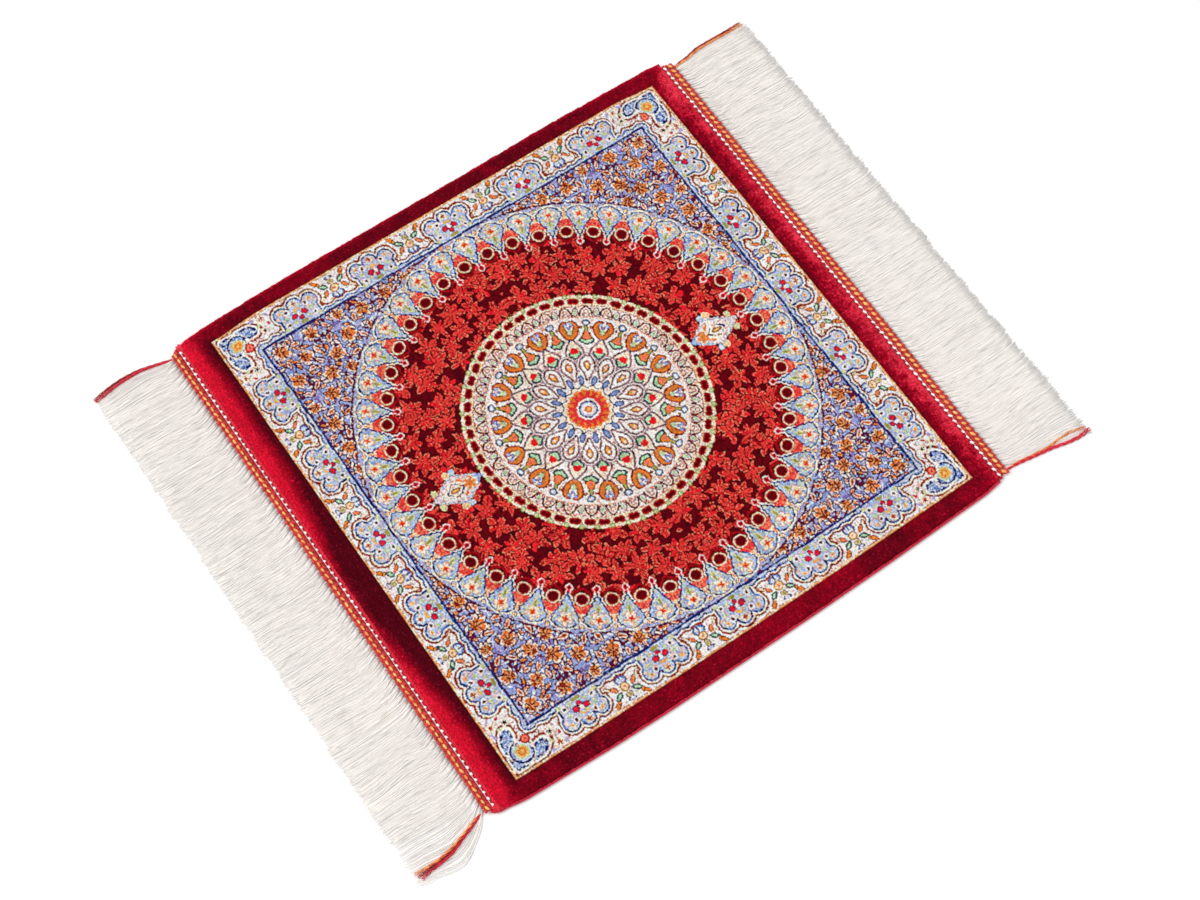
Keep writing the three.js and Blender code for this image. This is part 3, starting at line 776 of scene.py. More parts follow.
pile_y = np.interp(
    y,
    (-HALF_SQUARE - NEAR_KNOTS, -HALF_SQUARE, HALF_SQUARE, HALF_SQUARE + FAR_KNOTS),
    (NEAR_PILE_END, SQUARE_NEAR, SQUARE_FAR, FAR_PILE_END),
)
end_share = np.clip(np.abs(pile_y) / HALF_SQUARE, 0, 1)
bulge = np.clip((1 - end_share) / 0.2, 0, 1)
square_left = -HALF_SQUARE - 1.5 - 2.6 * bulge * bulge * (3 - 2 * bulge)
square_right = HALF_SQUARE + 1.1 + 2.2 * (1 - end_share ** 2)
pile_left = left_side(pile_y) - 0.4
pile_right = right_side(pile_y) - RIGHT_SETBACK
share = (x + HALF_SQUARE) / KNOTS_ACROSS
left_share = (-HALF_SQUARE - x) / LEFT_KNOTS
right_share = (x - HALF_SQUARE) / RIGHT_KNOTS
pile_x = square_left * (1 - share) + square_right * share
pile_x = np.where(x < -HALF_SQUARE, square_left * (1 - left_share) + pile_left * left_share, pile_x)
pile_x = np.where(x > HALF_SQUARE, square_right * (1 - right_share) + pile_right * right_share, pile_x)
ragged = 0.45 * patches(2.2, 50) + 0.3 * patches(7.0, 51)
rim_gap = np.minimum.reduce([
    pile_x - pile_left,
    pile_right - pile_x,
    pile_y - NEAR_PILE_END,
    FAR_PILE_END - pile_y,
])
roll = np.clip(1 - rim_gap / RIM, 0, 1)
rim_drop = np.where(x > HALF_SQUARE, RIGHT_RIM_DROP, RIM_DROP)
pile_z = PILE_TOP - 0.35 - rim_drop * (1 - np.sqrt(1 - 0.98 * roll * roll))
pile_z += 0.12 * patches(22, 52) + 0.07 * patches(5, 53)
tuft_rng = np.random.default_rng(11)
is_tip = np.arange(x.size) >= foot_count
uneven = 0.09 * tuft_rng.standard_normal(x.size) * np.where(is_tip, 1, 0.4)
pile_z += np.where(is_tip, TUFT_RISE, -0.12) + uneven
pile_x += np.where(is_tip, -LEAN, 0) + 0.07 * tuft_rng.standard_normal(x.size)
pile_y += 0.07 * tuft_rng.standard_normal(x.size)
pile_x += np.where(x < 0, -1, 1) * ragged * (np.minimum(pile_x - pile_left, pile_right - pile_x) < 0.6)
pile_y += ragged * (np.minimum(pile_y - NEAR_PILE_END, FAR_PILE_END - pile_y) < 0.6)
TALLEST_TUFT = PILE_TOP + 0.6
pile_points = np.stack([pile_x, pile_y, np.minimum(pile_z, TALLEST_TUFT)], -1)


def crisper(grid):
    """Set each knot's colour off a little more from those around it."""
    nearby = sum(np.roll(grid, (up, over), (0, 1)) for up in (-1, 0, 1) for over in (-1, 0, 1)) / 9
    return grid + 0.45 * (grid - nearby)


# The knot colours hold the plain edge's painted light and shade along with the yarns' dyes.
foot_colours = crisper(dye_and_painted_shading[:foot_count].reshape(foot_x.shape + (3,)))
tip_colours = crisper(dye_and_painted_shading[foot_count:].reshape(tip_x.shape + (3,)))
knot_colours = np.concatenate([foot_colours.reshape(-1, 3), tip_colours.reshape(-1, 3)])
DYE_STRENGTH = 0.86
dye_light = linear(np.clip(knot_colours, 0, 255), DYE_STRENGTH)

pile_finish, start, shader = finish("silk_pile", 0.62, 0.0, 0.03)
place = start.add("ShaderNodeTexCoord", None, None, 3)
# The dye attribute carries the yarn colours together with the plain edge's painted light and shade.
knot_dye_and_shading = start.add("ShaderNodeAttribute", {"attribute_name": "dye_and_painted_shading"})
hair = {"Vector": place, "Scale": 1500.0, "Detail": 3.0, "Roughness": 0.7}
# Fine fibre noise varies the knots' tone, and soft larger patches of painted sheen, where the pile lies
# brushed different ways, lighten and darken it.
fibre = start.add("ShaderNodeTexNoise", None, hair)
brushed_sheen = start.add("ShaderNodeTexNoise", None, {"Vector": place, "Scale": 60.0, "Detail": 3.0})
fibre_tone_and_sheen = fibre * 0.9 + brushed_sheen * 0.36 + 0.37
tone = start.add("ShaderNodeCombineColor", None, {0: fibre_tone_and_sheen, 1: fibre_tone_and_sheen, 2: fibre_tone_and_sheen})
feed(shader, "Base Color", knot_dye_and_shading.shaded(tone))
feed(shader, "Roughness", 0.48 + fibre * 0.3)
relief(start, fibre, shader, 0.00025, 0.6)

# The pile is made in five pieces, along the lines of its pattern.
knot_columns, knot_rows = len(foot_columns) - 1, len(foot_rows) - 1
knot_depth = HALF_SQUARE - np.maximum(np.abs(tip_x), np.abs(tip_y)).ravel()
knot_radius = np.hypot(tip_x, tip_y).ravel()
corner_feet = lattice(knot_rows + 1, knot_columns + 1)
knot_tip = np.arange(knot_rows * knot_columns) + foot_count
pile_parts = {
    "pile_plain_edge": knot_depth < 0,
    "pile_border": (knot_depth >= 0) & (knot_depth < BORDER_WIDTH),
    "pile_corners_and_ring": (knot_depth >= BORDER_WIDTH) & (knot_radius >= FIELD_OUTER),
    "pile_red_ground": (knot_radius < FIELD_OUTER) & (knot_radius >= MEDALLION),
    "pile_medallion": knot_radius < MEDALLION,
}
for name, chosen in pile_parts.items():
    feet, tips = corner_feet[chosen], knot_tip[chosen]
    sides = [np.stack([feet[:, side], feet[:, (side + 1) % 4], tips], -1) for side in range(4)]
    triangles = np.concatenate(sides)
    used, triangles = np.unique(triangles, return_inverse=True)
    triangles = triangles.reshape(-1, 3)
    part = piece(name, pile_points[used], triangles, pile_finish, "pile_rug", dye_light[used])
    flat_map = part.data.uv_layers.new(name="OFBake")
    spread = pile_points[used][triangles.ravel(), :2]
    low, high = spread.min(0), spread.max(0)
    flat = 0.01 + 0.98 * (spread - low) / (high - low).max()
    flat_map.data.foreach_set("uv", flat.astype(np.float32).ravel())

# The side cords: the outermost warps, closely wrapped in crimson silk that shows as fine slanting turns.
# The left one lies half under the leaning nap, and both curl round the near corners to the end band.
CORD_RADIUS = 1.3
CORD_MIDDLE = 1.45
WRAP_RADIUS = 0.46
WRAP_SINK = 0.34
ROUTE_POINTS = 400
TURN_PITCH = 0.95
TURN_STEPS = 9


def strands(name, paths, radii, sides, material, node, shades=None):
    """Make round strands in one mesh. Paths, in millimetres, and radii have a row for each strand."""
    count, steps = paths.shape[:2]
    ahead = np.gradient(paths, axis=1)
    ahead /= np.linalg.norm(ahead, axis=2, keepdims=True)
    across = np.cross(ahead, (0, 0, 1.0))
    across /= np.maximum(np.linalg.norm(across, axis=2, keepdims=True), 1e-6)
    up = np.cross(across, ahead)
    turn = 2 * math.pi * (np.arange(sides) + 0.25) / sides
    ring = across[:, :, None] * np.cos(turn)[:, None] + up[:, :, None] * np.sin(turn)[:, None]
    points = paths[:, :, None] + ring * radii[:, :, None, None]
    number = np.arange(count * steps * sides).reshape(count, steps, sides)
    wrapped = np.roll(number, -1, axis=2)
    walls = np.stack([number[:, :-1], wrapped[:, :-1], wrapped[:, 1:], number[:, 1:]], -1).reshape(-1, 4)
    halves = np.concatenate([walls[:, [0, 1, 2]], walls[:, [0, 2, 3]]])
    fans = [
        np.stack([number[:, end, 0], number[:, end, k + 1 + end], number[:, end, k - end]], -1)
        for end in (0, -1)
        for k in range(1, sides - 1)
    ]
    triangles = np.concatenate([halves] + fans)
    point_colours = None
    if shades is not None:
        point_colours = np.repeat(shades.reshape(-1, 3), sides, axis=0)
    return piece(name, points.reshape(-1, 3), triangles, material, node, point_colours)


def yarn_finish(name, colour, other, scale=700.0, roughness=0.5):
    """A dyed silk yarn: two close shades in patches, with fine fibres raised along it."""
    material, start, shader = finish(name, roughness, 0.3, 0.25)
    place = start.add("ShaderNodeTexCoord", None, None, 3)
    patch = start.add("ShaderNodeTexNoise", None, {"Vector": place, "Scale": scale, "Detail": 3.0})
    hair = start.add("ShaderNodeTexNoise", None, {"Vector": place, "Scale": 3000.0, "Detail": 2.0})
    stops = ((0.36, (0, 0, 0, 1)), (0.64, (1, 1, 1, 1)))
    spread = start.add("ShaderNodeValToRGB", {"stops": stops}, {0: patch})
    feed(shader, "Base Color", spread.tint((*linear(colour), 1), (*linear(other), 1)))
    relief(start, hair, shader, 0.0002, 0.7)
    return material


crimson_finish = yarn_finish("crimson_silk", (206, 18, 48), (150, 6, 30))
cord_finish = yarn_finish("bright_cord_silk", (236, 34, 72), (188, 10, 44))


def along_path(route, count):
    """Spread points evenly along a route of straight runs."""
    gaps = np.linalg.norm(np.diff(route, axis=0), axis=1)
    reached = np.concatenate([[0], np.cumsum(gaps)])
    wanted = np.linspace(0, reached[-1], count)
    places = [np.interp(wanted, reached, route[:, axis]) for axis in range(route.shape[1])]
    return np.stack(places, -1), reached[-1]


def smoothed(points, passes):
    for _ in range(passes):
        points[1:-1] = (points[:-2] + 2 * points[1:-1] + points[2:]) / 4
    return points


near_turns = {
    "left": ((-193.9, -210.5), (-196.0, -208.0), (-197.0, -204.6)),
    "right": ((193.1, -209.6), (194.9, -207.4), (195.9, -204.4)),
}
cord_places = np.linspace(-200.0, 198.5, 60)
for side_name, reach, inward in (("left", left_side, 1), ("right", right_side, -1)):
    straight = np.stack([reach(cord_places) + inward * CORD_RADIUS, cord_places], -1)
    route = np.concatenate([np.array(near_turns[side_name]), straight])
    centre, length = along_path(route, ROUTE_POINTS)
    centre = smoothed(centre, 6)
    turns = length / TURN_PITCH
    steps = int(turns * TURN_STEPS)
    share = np.linspace(0, 1, steps)
    centre_share = np.linspace(0, 1, len(centre))
    core = np.stack([np.interp(share, centre_share, centre[:, axis]) for axis in (0, 1)], -1)
    ahead = np.gradient(core, axis=0)
    ahead /= np.linalg.norm(ahead, axis=1, keepdims=True)
    swing = 2 * math.pi * turns * share
    wrap = CORD_RADIUS - WRAP_SINK
    helix = np.stack([
        core[:, 0] + ahead[:, 1] * wrap * np.cos(swing),
        core[:, 1] - ahead[:, 0] * wrap * np.cos(swing),
        CORD_MIDDLE + wrap * np.sin(swing),
    ], -1)
    strands(
        f"side_wrapping_{side_name}", helix[None], np.full((1, steps), WRAP_RADIUS), 3,
        cord_finish, f"side_cord_{side_name}",
    )

# The end bands: two rows of crimson silk twined across the warps, with a bead of orange gold yarn
# standing between every pair of crossings. Toward the pile the last wefts are crimson too, and one
# row of short white weft stitches stands out on them.
bead_finish = yarn_finish("orange_gold_silk", (255, 204, 118), (240, 132, 58), 420.0)
brick_finish = yarn_finish("brick_silk", (224, 62, 52), (172, 34, 34), 500.0)
white_finish = yarn_finish("white_cotton", (255, 254, 252), (244, 240, 236), 500.0, 0.7)
bright_finish = yarn_finish("bright_crimson_silk", (232, 40, 66), (196, 14, 42), 500.0)
BAND_STEPS = 6
CORE_HEIGHT, ROW_HEIGHT, BEAD_HEIGHT, THREAD_HEIGHT = 1.9, 2.5, 2.75, 2.4


def beads(name, centres, sizes, tilt, material, node):
    """Make small oval stitches lying at a tilt: centres and half sizes in millimetres."""
    rings, sides = 3, 7
    latitude = np.linspace(-math.pi / 2, math.pi / 2, rings + 2)[1:-1]
    turn = 2 * math.pi * np.arange(sides) / sides
    shell = np.stack([
        np.outer(np.cos(latitude), np.cos(turn)),
        np.outer(np.cos(latitude), np.sin(turn)),
        np.outer(np.sin(latitude), np.ones(sides)),
    ], -1).reshape(-1, 3)
    shell = np.concatenate([shell, [(0, 0, -1), (0, 0, 1)]])
    number = np.arange(rings * sides).reshape(rings, sides)
    wrapped = np.roll(number, -1, axis=1)
    walls = np.stack([number[:-1], wrapped[:-1], wrapped[1:], number[1:]], -1).reshape(-1, 4)
    low, high = rings * sides, rings * sides + 1
    triangles = np.concatenate([
        walls[:, [0, 1, 2]],
        walls[:, [0, 2, 3]],
        np.stack([wrapped[0], number[0], np.full(sides, low)], -1),
        np.stack([number[-1], wrapped[-1], np.full(sides, high)], -1),
    ])
    scaled = shell[None] * sizes[:, None]
    c, s = np.cos(tilt)[:, None], np.sin(tilt)[:, None]
    lying = np.stack([
        scaled[..., 0] * c - scaled[..., 1] * s,
        scaled[..., 0] * s + scaled[..., 1] * c,
        scaled[..., 2],
    ], -1)
    points = (lying + centres[:, None]).reshape(-1, 3)
    faces = (triangles[None] + np.arange(len(centres))[:, None, None] * len(shell)).reshape(-1, 3)
    return piece(name, points, faces, material, node)


def rope(centre, radius, pitch, plies, thickness, phase=0.0):
    """Twist plies round a centre line: returns their paths and radii."""
    ahead = np.gradient(centre, axis=0)
    ahead /= np.linalg.norm(ahead, axis=1, keepdims=True)
    run = np.concatenate([[0], np.cumsum(np.linalg.norm(np.diff(centre, axis=0), axis=1))])
    side = np.stack([-ahead[:, 1], ahead[:, 0], np.zeros(len(ahead))], -1)
    paths = []
    for ply in range(plies):
        swing = 2 * math.pi * (run / pitch + ply / plies) + phase
        lift = np.array((0, 0, 1.0)) * (radius * np.sin(swing))[:, None]
        paths.append(centre + side * (radius * np.cos(swing))[:, None] + lift)
    return np.array(paths), np.full((plies, len(centre)), thickness)


def level(along, aside, height):
    """Points at one height, from their places along an end of the rug and out from its middle."""
    return np.stack([along, aside + 0 * along, np.full(len(along), height)], -1)


bands = {
    "near": {
        "middle": -210.9, "width": 5.4, "left": -194.0, "right": 192.6, "stitches": 80, "outward": -1,
        "weft_rows": (-205.4, -206.6, -207.8), "stitch_row": -206.7, "bead_tilt": 0.1,
        "stitch_length": 1.3, "weft_reach": 2.0,
    },
    "far": {
        "middle": 204.5, "width": 6.4, "left": -195.8, "right": 196.2, "stitches": 82, "outward": 1,
        "weft_rows": (200.0, 201.2), "stitch_row": 200.2, "bead_tilt": 0.55,
        "stitch_length": 1.8, "weft_reach": 1.0,
    },
}
band_rng = np.random.default_rng(23)
for end, band in bands.items():
    band_node = f"end_band_{end}"
    count = band["stitches"]
    pitch = (band["right"] - band["left"]) / count
    steps = count * BAND_STEPS + 1
    run = np.linspace(band["left"] + 0.5, band["right"] - 0.5, steps)
    sway = 0.22 * value_noise(run, run * 0 + band["middle"], 30, 60) + 0.12 * value_noise(run, run * 0, 9, 61)
    half = band["width"] / 2
    stitch_x = band["left"] + pitch * (np.arange(count) + 0.5)
    stitch_sway = np.interp(stitch_x, run, sway)

    # The two crimson rows, each of short slanting stitches over a core, and the yarn that crosses between.
    cores = [level(run, band["middle"] + sway + edge * (half - 1.0), CORE_HEIGHT) for edge in (-1, 1)]
    crossing = level(run, band["middle"] + sway, CORE_HEIGHT)
    swing = 2 * math.pi * (run - band["left"]) / pitch
    crossing[:, 1] += (half - 0.9) * np.cos(swing)
    crossing[:, 2] += 0.6 * np.sin(swing)
    cores = np.array(cores + [crossing])
    radii = np.full((3, steps), 0.7)
    strands(f"{band_node}_twining", cores, radii, 5, brick_finish, band_node)
    for edge, label in ((-1, "lower"), (1, "upper")):
        shift = 0.25 * pitch * edge * band["outward"]
        centres = level(stitch_x + shift, band["middle"] + stitch_sway + edge * (half - 1.0), ROW_HEIGHT)
        centres[:, 1] += 0.1 * band_rng.standard_normal(count)
        sizes = np.array((pitch * 0.38, 1.15, 1.1)) * band_rng.uniform(0.88, 1.08, (count, 1))
        tilt = 0.42 * edge + band_rng.uniform(-0.15, 0.15, count)
        beads(f"{band_node}_{label}_row", centres, sizes, tilt, brick_finish, band_node)

    # The orange gold beads between the rows, on a crimson core.
    centres = level(stitch_x, band["middle"] + stitch_sway, BEAD_HEIGHT)
    sizes = np.array((pitch * 0.5, half * 0.36, 1.0)) * band_rng.uniform(0.86, 1.08, (count, 1))
    tilt = band["bead_tilt"] + band_rng.uniform(-0.25, 0.25, count)
    beads(f"{band_node}_beads", centres, sizes, tilt, bead_finish, band_node)
    under = level(run, band["middle"] + sway, THREAD_HEIGHT)[::3]
    radii = np.full((1, len(under)), 0.9)
    strands(f"{band_node}_core", under[None], radii, 5, brick_finish, band_node)

    # The crimson wefts beside the band, and the white stitches on them, joined by one thin white thread.
    weft_run = np.linspace(band["left"] - band["weft_reach"], band["right"] + band["weft_reach"], 240)
    wefts = []
    for number, row in enumerate(band["weft_rows"]):
        ripple = 0.1 * value_noise(weft_run, weft_run * 0 + 40 * number, 5.0, 62)
        wefts.append(np.stack([weft_run, row + ripple, 1.72 + 0.8 * ripple], -1))
    radii = np.full((len(wefts), 240), 0.72)
    strands(f"crimson_wefts_{end}", np.array(wefts), radii, 6, crimson_finish, "pile_rug")
    centres = level(stitch_x, band["stitch_row"] + 0.12 * band_rng.standard_normal(count), BEAD_HEIGHT)
    sizes = np.array((band["stitch_length"], 0.95, 0.85)) * band_rng.uniform(0.82, 1.12, (count, 1))
    tilt = 0.5 + band_rng.uniform(-0.3, 0.3, count)
    beads(f"weft_stitches_{end}", centres, sizes, tilt, white_finish, "pile_rug")
    thread = level(run, band["stitch_row"] + 0.5 * band["outward"], THREAD_HEIGHT)
    radii = np.full((1, steps), 0.17)
    strands(f"weft_thread_{end}", thread[None], radii, 4, white_finish, "pile_rug")

# Against the near end band the pile finishes in a row of bright crimson stitches over its last wefts.
near_band = bands["near"]
pitch = (near_band["right"] - near_band["left"]) / near_band["stitches"]
run = np.linspace(near_band["left"] - 1.5, near_band["right"] + 1.0, near_band["stitches"] * BAND_STEPS + 1)
ply_paths, ply_radii = rope(level(run, NEAR_PILE_END - 0.2, ROW_HEIGHT), 0.5, pitch, 2, 0.66)
strands("near_edge_stitches", ply_paths, ply_radii, 5, bright_finish, "pile_rug")

# At both near corners the silk of the side cord is wound on a few times more, into a small rounded knob.
KNOB_STITCHES = 44
KNOB_LONG, KNOB_WIDE, KNOB_HIGH = 3.4, 2.3, 1.7
knob_rng = np.random.default_rng(29)
for side_name, middle_x in (("left", -194.6), ("right", 193.6)):
    turn = knob_rng.uniform(0, 2 * math.pi, KNOB_STITCHES)
    away = np.sqrt(knob_rng.uniform(0, 1, KNOB_STITCHES))
    centres = np.stack([
        middle_x + KNOB_LONG * away * np.cos(turn),
        -205.2 + KNOB_WIDE * away * np.sin(turn),
        1.5 + KNOB_HIGH * np.sqrt(1 - away ** 2 * 0.96),
    ], -1)
    sizes = np.array((1.3, 0.75, 0.75)) * knob_rng.uniform(0.8, 1.15, (KNOB_STITCHES, 1))
    tilt = knob_rng.uniform(-0.7, 0.7, KNOB_STITCHES)
    knob_name = f"corner_knob_{side_name}"
    beads(knob_name, centres, sizes, tilt, bright_finish, f"side_cord_{side_name}")


# The fringes: the ends of the ivory warps, drawn out from under each band in small bunches that slant
# and fan out. Half of them lie side by side on the floor, the rest lie loosely over these, trimmed by eye.
LOW_THREADS, HIGH_THREADS = 8, 8
THREAD_STEPS = 12
THREAD_RADIUS = 0.34

fringe_finish, start, shader = finish("ivory_warp_threads", 0.6, 0.2, 0.15)
place = start.add("ShaderNodeTexCoord", None, None, 3)
# The dye attribute holds the threads' ivory with painted shadow strokes and painted shade near the band.
thread_dye_and_shade = start.add("ShaderNodeAttribute", {"attribute_name": "dye_and_painted_shading"})
fibre = start.add("ShaderNodeTexNoise", None, {"Vector": place, "Scale": 2200.0, "Detail": 2.0})
tone_value = 0.95 + fibre * 0.1
tone = start.add("ShaderNodeCombineColor", None, {0: tone_value, 1: tone_value, 2: tone_value})
feed(shader, "Base Color", thread_dye_and_shade.shaded(tone))
relief(start, fibre, shader, 0.00015, 0.4)

fringes = {
    "near": {
        "root": -213.4, "tip": -272.4, "left": -191.8, "right": 191.4, "bunches": 80, "outward": -1,
        "ragged": 0.7, "swell": ((0, 4, 10, 17, 27, 36, 46, 60), (0, 3, 9, 15, 21, 19.5, 15.5, 14)),
    },
    "far": {
        "root": 207.6, "tip": 272.6, "left": -190.2, "right": 191.6, "bunches": 82, "outward": 1,
        "ragged": 0.8, "swell": ((0, 12, 30, 50, 66), (0, 1.0, 3.5, 8.0, 12.0)),
    },
}
for number, (end, fringe) in enumerate(fringes.items()):
    rng = np.random.default_rng(31 + number)
    in_bunch = LOW_THREADS + HIGH_THREADS
    bunch = np.repeat(np.arange(fringe["bunches"]), in_bunch)
    rank = np.tile(np.arange(in_bunch), fringe["bunches"])
    count = len(bunch)
    high = rank >= LOW_THREADS
    pitch = (fringe["right"] - fringe["left"]) / fringe["bunches"]
    spread = np.where(high, rng.uniform(-0.5, 0.5, count), (rank + 0.5) / LOW_THREADS - 0.5)
    middle = fringe["left"] + pitch * (bunch + 0.5)
    home = middle + spread * pitch
    length = abs(fringe["tip"] - fringe["root"]) + rng.normal(0, fringe["ragged"], count)
    length += 0.9 * value_noise(home, home * 0, 14, 70) + 0.5 * value_noise(home, home * 0, 3.5, 71)
    length -= np.where(high, rng.exponential(0.9, count), 0)

    # Each bunch leaves the band gathered and slanting, then fans out to its share of the width.
    reach = np.linspace(0, 1, THREAD_STEPS) ** 1.2 * length[:, None]
    fan = np.clip(reach / 10.0, 0, 1)
    fan = fan * fan * (3 - 2 * fan)
    base = middle[:, None] + spread[:, None] * pitch * (0.5 + 0.52 * fan)
    slant = 1.9 * np.clip(reach / 7.0, 0, 1) - 1.0

    # Neighbouring threads drift together, the loose ones more freely and with a wave of their own.
    lie_at = home[:, None] + 0 * reach
    drift = 2.0 * value_noise(lie_at, reach + 300, 30, 72 + number) * np.clip(reach / 20, 0, 1)
    drift += 0.5 * value_noise(lie_at, reach * 0.7 + 100, 22, 74 + number) * np.clip(reach / 10, 0, 1)
    loose = np.where(high, 1.0, 0.3)[:, None]
    drift += loose * rng.normal(0, 1.1, (count, 1)) * reach / 60
    wave = np.sin(2 * math.pi * (reach / rng.uniform(11, 26, (count, 1)) + rng.uniform(0, 1, (count, 1))))
    drift += loose * rng.uniform(0.1, 0.5, (count, 1)) * wave * np.clip(reach / 6, 0, 1)
    thread_x = base + slant + drift

    # The outermost threads are pulled outward, most of all toward the right corners.
    right_pull = np.clip((home - (fringe["right"] - 16)) / 16, 0, 1)[:, None]
    thread_x += right_pull ** 1.6 * np.interp(reach, *fringe["swell"])
    left_pull = np.clip((fringe["left"] + 10 - home) / 10, 0, 1)[:, None]
    thread_x -= left_pull ** 1.4 * np.interp(reach, (0, 20, 45, 60), (0, 2.4, 4.5, 4.0))

    # The loose threads lie on the others, thickest near the band.
    thickness = np.interp(reach, (0, 3, 12, 40, 62), (0.6, 0.55, 0.3, 0.22, 0.12))
    layer = rng.uniform(0.45, 1, count)[:, None]
    thread_z = THREAD_RADIUS + 0.05 + np.where(high[:, None], 0.12 + layer * thickness, 0.1 * layer)
    thread_z += np.clip(1 - reach / 6, 0, 1) * 0.35
    thread_y = fringe["root"] + fringe["outward"] * reach
    paths = np.stack([thread_x, thread_y, thread_z], -1)
    stoutness = np.where(high, rng.uniform(0.6, 0.9, count), 1.0)[:, None]
    radii = THREAD_RADIUS * stoutness * np.ones((1, THREAD_STEPS))
    radii[:, -1] *= 0.8

    # Ivory, warmer or cooler from thread to thread, with painted shadow on a few short lengths and painted
    # shade close to the band.
    warmth = rng.normal(0, 1, (count, 1, 1))
    painted_shadow_strokes = 1 - 0.26 * (rng.uniform(0, 1, (count, THREAD_STEPS, 1)) > 0.93)
    tone = np.array((0.99, 0.935, 0.89)) * (1 + 0.02 * warmth) * painted_shadow_strokes - np.array((0, 0.006, 0.016)) * warmth
    root_shade = np.clip(reach / 2.5 + 0.35, 0, 1)[..., None]
    root_shade_colour = np.array((0.74, 0.76, 0.72))
    shades = root_shade_colour * (1 - root_shade) + tone * root_shade
    shades = np.clip(shades, 0, 1)
    strands(f"fringe_{end}_threads", paths, radii, 3, fringe_finish, f"fringe_{end}", shades)

# The coloured yarn ends: the tails of the silks used for the end bands, left long at the four corners.
# They lie beside the fringe or on it, loosely twisted, and part into two toward their tips.
tails = {
    "near_left": {
        "crimson": (
            (-191.2, -214.0, 1.0), (-192.2, -218.0, 1.1), (-194.2, -226.0, 1.1), (-196.4, -237.0, 1.0),
            (-196.2, -247.0, 0.9), (-195.4, -258.0, 0.9), (-193.8, -266.0, 0.8), (-193.0, -273.0, 0.8),
        ),
        "rust": (
            (-191.6, -214.0, 0.9), (-193.0, -219.0, 0.9), (-195.2, -228.0, 0.9), (-197.6, -238.3, 0.8),
            (-198.2, -249.7, 0.8), (-197.6, -257.7, 0.7), (-195.9, -267.9, 0.7), (-194.2, -273.2, 0.6),
        ),
    },
    "near_right": {
        "orange": (
            (189.6, -214.3, 0.7), (191.4, -219.5, 0.8), (193.5, -225.8, 1.6), (196.6, -235.4, 1.7),
            (199.0, -244.4, 1.6), (200.1, -252.6, 1.6), (200.2, -261.9, 1.5), (199.5, -270.7, 1.3),
        ),
        "rust": (
            (190.0, -214.3, 0.7), (192.0, -219.5, 0.8), (194.4, -226.5, 1.6), (197.6, -235.7, 1.7),
            (200.0, -242.5, 1.6), (201.4, -252.1, 1.5), (201.8, -261.5, 1.4), (202.2, -270.4, 1.2),
        ),
        "crimson": (
            (190.3, -214.3, 0.7), (192.4, -219.5, 0.8), (195.0, -226.5, 1.3), (198.5, -235.7, 1.6),
            (201.2, -242.5, 1.5), (203.0, -252.1, 1.5), (203.2, -261.5, 1.4), (204.8, -268.8, 1.2),
        ),
    },
    "far_left": {
        "rust": (
            (-191.7, 208.0, 0.9), (-193.2, 211.4, 0.9), (-193.6, 219.7, 0.9), (-196.2, 230.0, 0.9),
            (-196.4, 242.1, 0.8), (-196.2, 255.5, 0.8), (-196.4, 270.0, 0.7),
        ),
        "orange": (
            (-191.3, 208.0, 0.9), (-192.4, 211.4, 0.9), (-192.4, 219.7, 1.0), (-194.8, 230.0, 1.0),
            (-194.8, 242.1, 0.9), (-194.6, 255.5, 0.9), (-194.6, 270.6, 0.8),
        ),
    },
    "far_right": {
        "crimson": (
            (193.6, 208.3, 0.9), (193.9, 215.2, 0.9), (195.6, 225.8, 0.9), (197.2, 235.5, 0.9),
            (198.6, 244.2, 0.8), (201.6, 255.7, 0.8), (202.8, 265.8, 0.8), (201.6, 274.0, 0.8),
        ),
        "orange": (
            (193.2, 208.3, 0.9), (193.3, 215.2, 1.0), (194.8, 225.8, 1.0), (196.2, 235.5, 1.0),
            (196.6, 244.1, 0.9), (195.8, 252.0, 0.9), (196.3, 262.5, 0.8), (199.0, 271.6, 0.8),
        ),
    },
}
tail_finish = {
    "rust": yarn_finish("rust_silk", (196, 44, 36), (122, 18, 24), 300.0),
    "crimson": bright_finish,
    "orange": yarn_finish("orange_silk", (255, 184, 108), (220, 92, 48), 300.0),
}
tail_stoutness = {("far_right", "crimson"): 1.45, ("near_left", "crimson"): 1.2}
TAIL_STEPS = 80
PLIES, PLY_SPREAD, PLY_RADIUS, TWIST_LENGTH = 3, 0.42, 0.44, 16.0
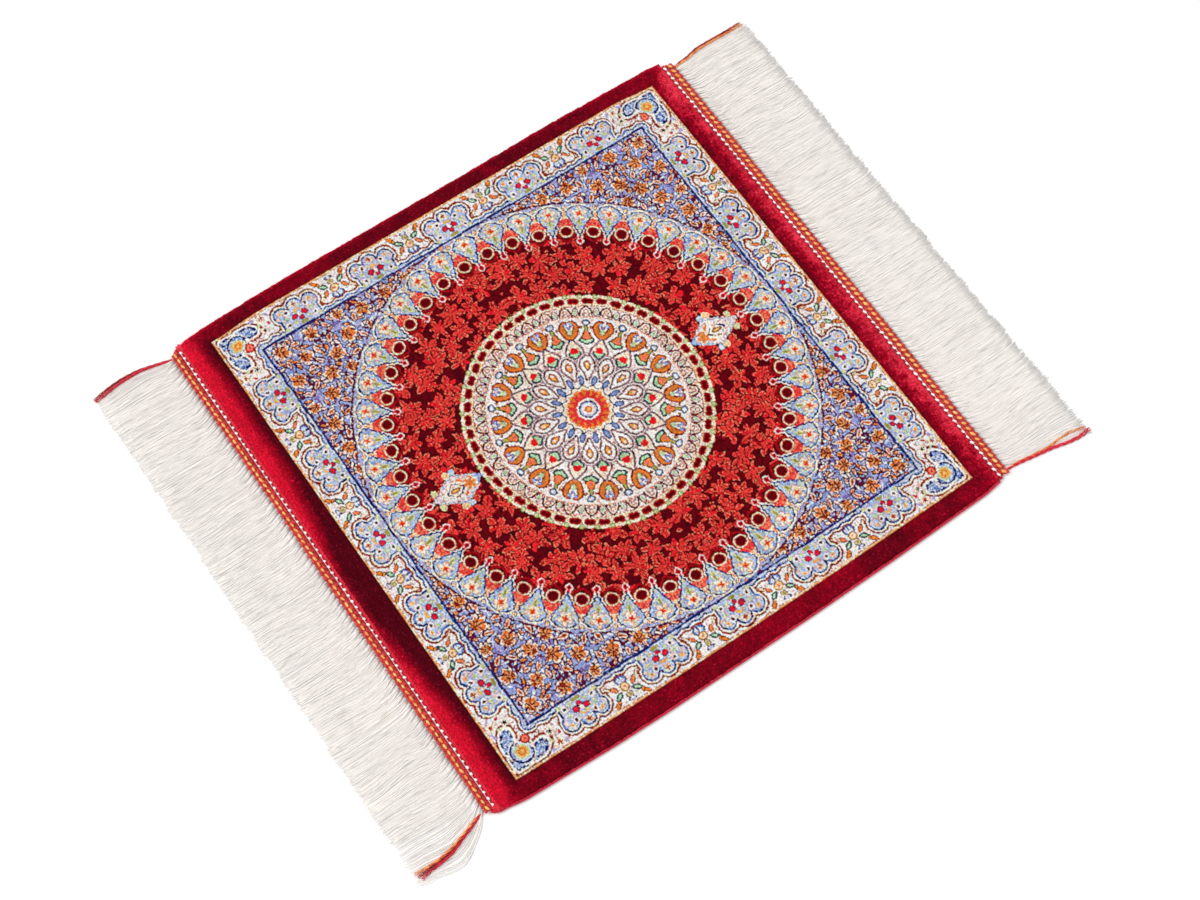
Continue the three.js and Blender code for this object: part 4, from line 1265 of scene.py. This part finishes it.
for corner, yarns in tails.items():
    for colour, stops in yarns.items():
        centre, length = along_path(np.array(stops), TAIL_STEPS)
        centre = smoothed(centre, 14)
        share = np.linspace(0, 1, TAIL_STEPS)
        stout = tail_stoutness.get((corner, colour), 1.0)
        ply_paths, ply_radii = rope(centre, PLY_SPREAD * stout, TWIST_LENGTH, PLIES, PLY_RADIUS * stout, 0.4)
        open_end = np.interp(share, (0, 0.12, 0.3, 0.7, 1), (0.6, 1.0, 1.3, 1.1, 2.0))
        ply_paths = centre + (ply_paths - centre) * open_end[None, :, None]
        lowest = 0.46 * stout + 0.04
        ply_paths[..., 2] = np.maximum(ply_paths[..., 2], lowest)
        ply_radii = ply_radii * np.interp(share, (0, 0.12, 0.7, 1), (0.7, 1.0, 0.9, 0.6))
        strands(
            f"yarn_end_{corner}_{colour}", ply_paths, ply_radii, 5,
            tail_finish[colour], f"yarn_lock_{corner}",
        )

# A plain pale floor, soft light from above and one side, and the camera where the photograph was taken.
FLOOR_SPREAD = 4.0
floor_corners = [(FLOOR_SPREAD * a, FLOOR_SPREAD * b, 0) for a, b in ((-1, -1), (1, -1), (1, 1), (-1, 1))]
floor_mesh = bpy.data.meshes.new("floor")
floor_mesh.from_pydata(floor_corners, [], [(0, 1, 2, 3)])
floor_finish, start, shader = finish("pale_floor", 0.9, 0.0, 0.1)
shader.inputs["Base Color"].default_value = (0.96, 0.96, 0.96, 1)
floor_mesh.materials.append(floor_finish)
floor = bpy.data.objects.new("floor", floor_mesh)
bpy.context.scene.collection.objects.link(floor)

world = bpy.data.worlds.new("studio")
bpy.context.scene.world = world
world.use_nodes = True
world.node_tree.nodes["Background"].inputs["Color"].default_value = (1, 1, 1, 1)
world.node_tree.nodes["Background"].inputs["Strength"].default_value = 0.80
sun = bpy.data.lights.new("soft_sun", "SUN")
sun.energy = 1.55
sun.angle = math.radians(35)
sun_lamp = bpy.data.objects.new("soft_sun", sun)
sun_lamp.rotation_euler = (math.radians(38), math.radians(-24), 0)
bpy.context.scene.collection.objects.link(sun_lamp)

camera = bpy.data.cameras.new("camera")
camera.lens = 68.65
camera.sensor_width = 36
camera.clip_end = 20
viewer = bpy.data.objects.new("camera", camera)
# Its columns are the camera's right, its up, its back, and where it stands, in metres.
viewer.matrix_world = mathutils.Matrix((
    (0.57109, -0.75735, 0.31668, 0.51574),
    (0.82046, 0.51414, -0.25000, -0.39641),
    (0.02651, 0.40259, 0.91499, 1.41144),
    (0, 0, 0, 1),
))
bpy.context.scene.collection.objects.link(viewer)
bpy.context.scene.camera = viewer
bpy.context.scene.view_settings.view_transform = "Standard"
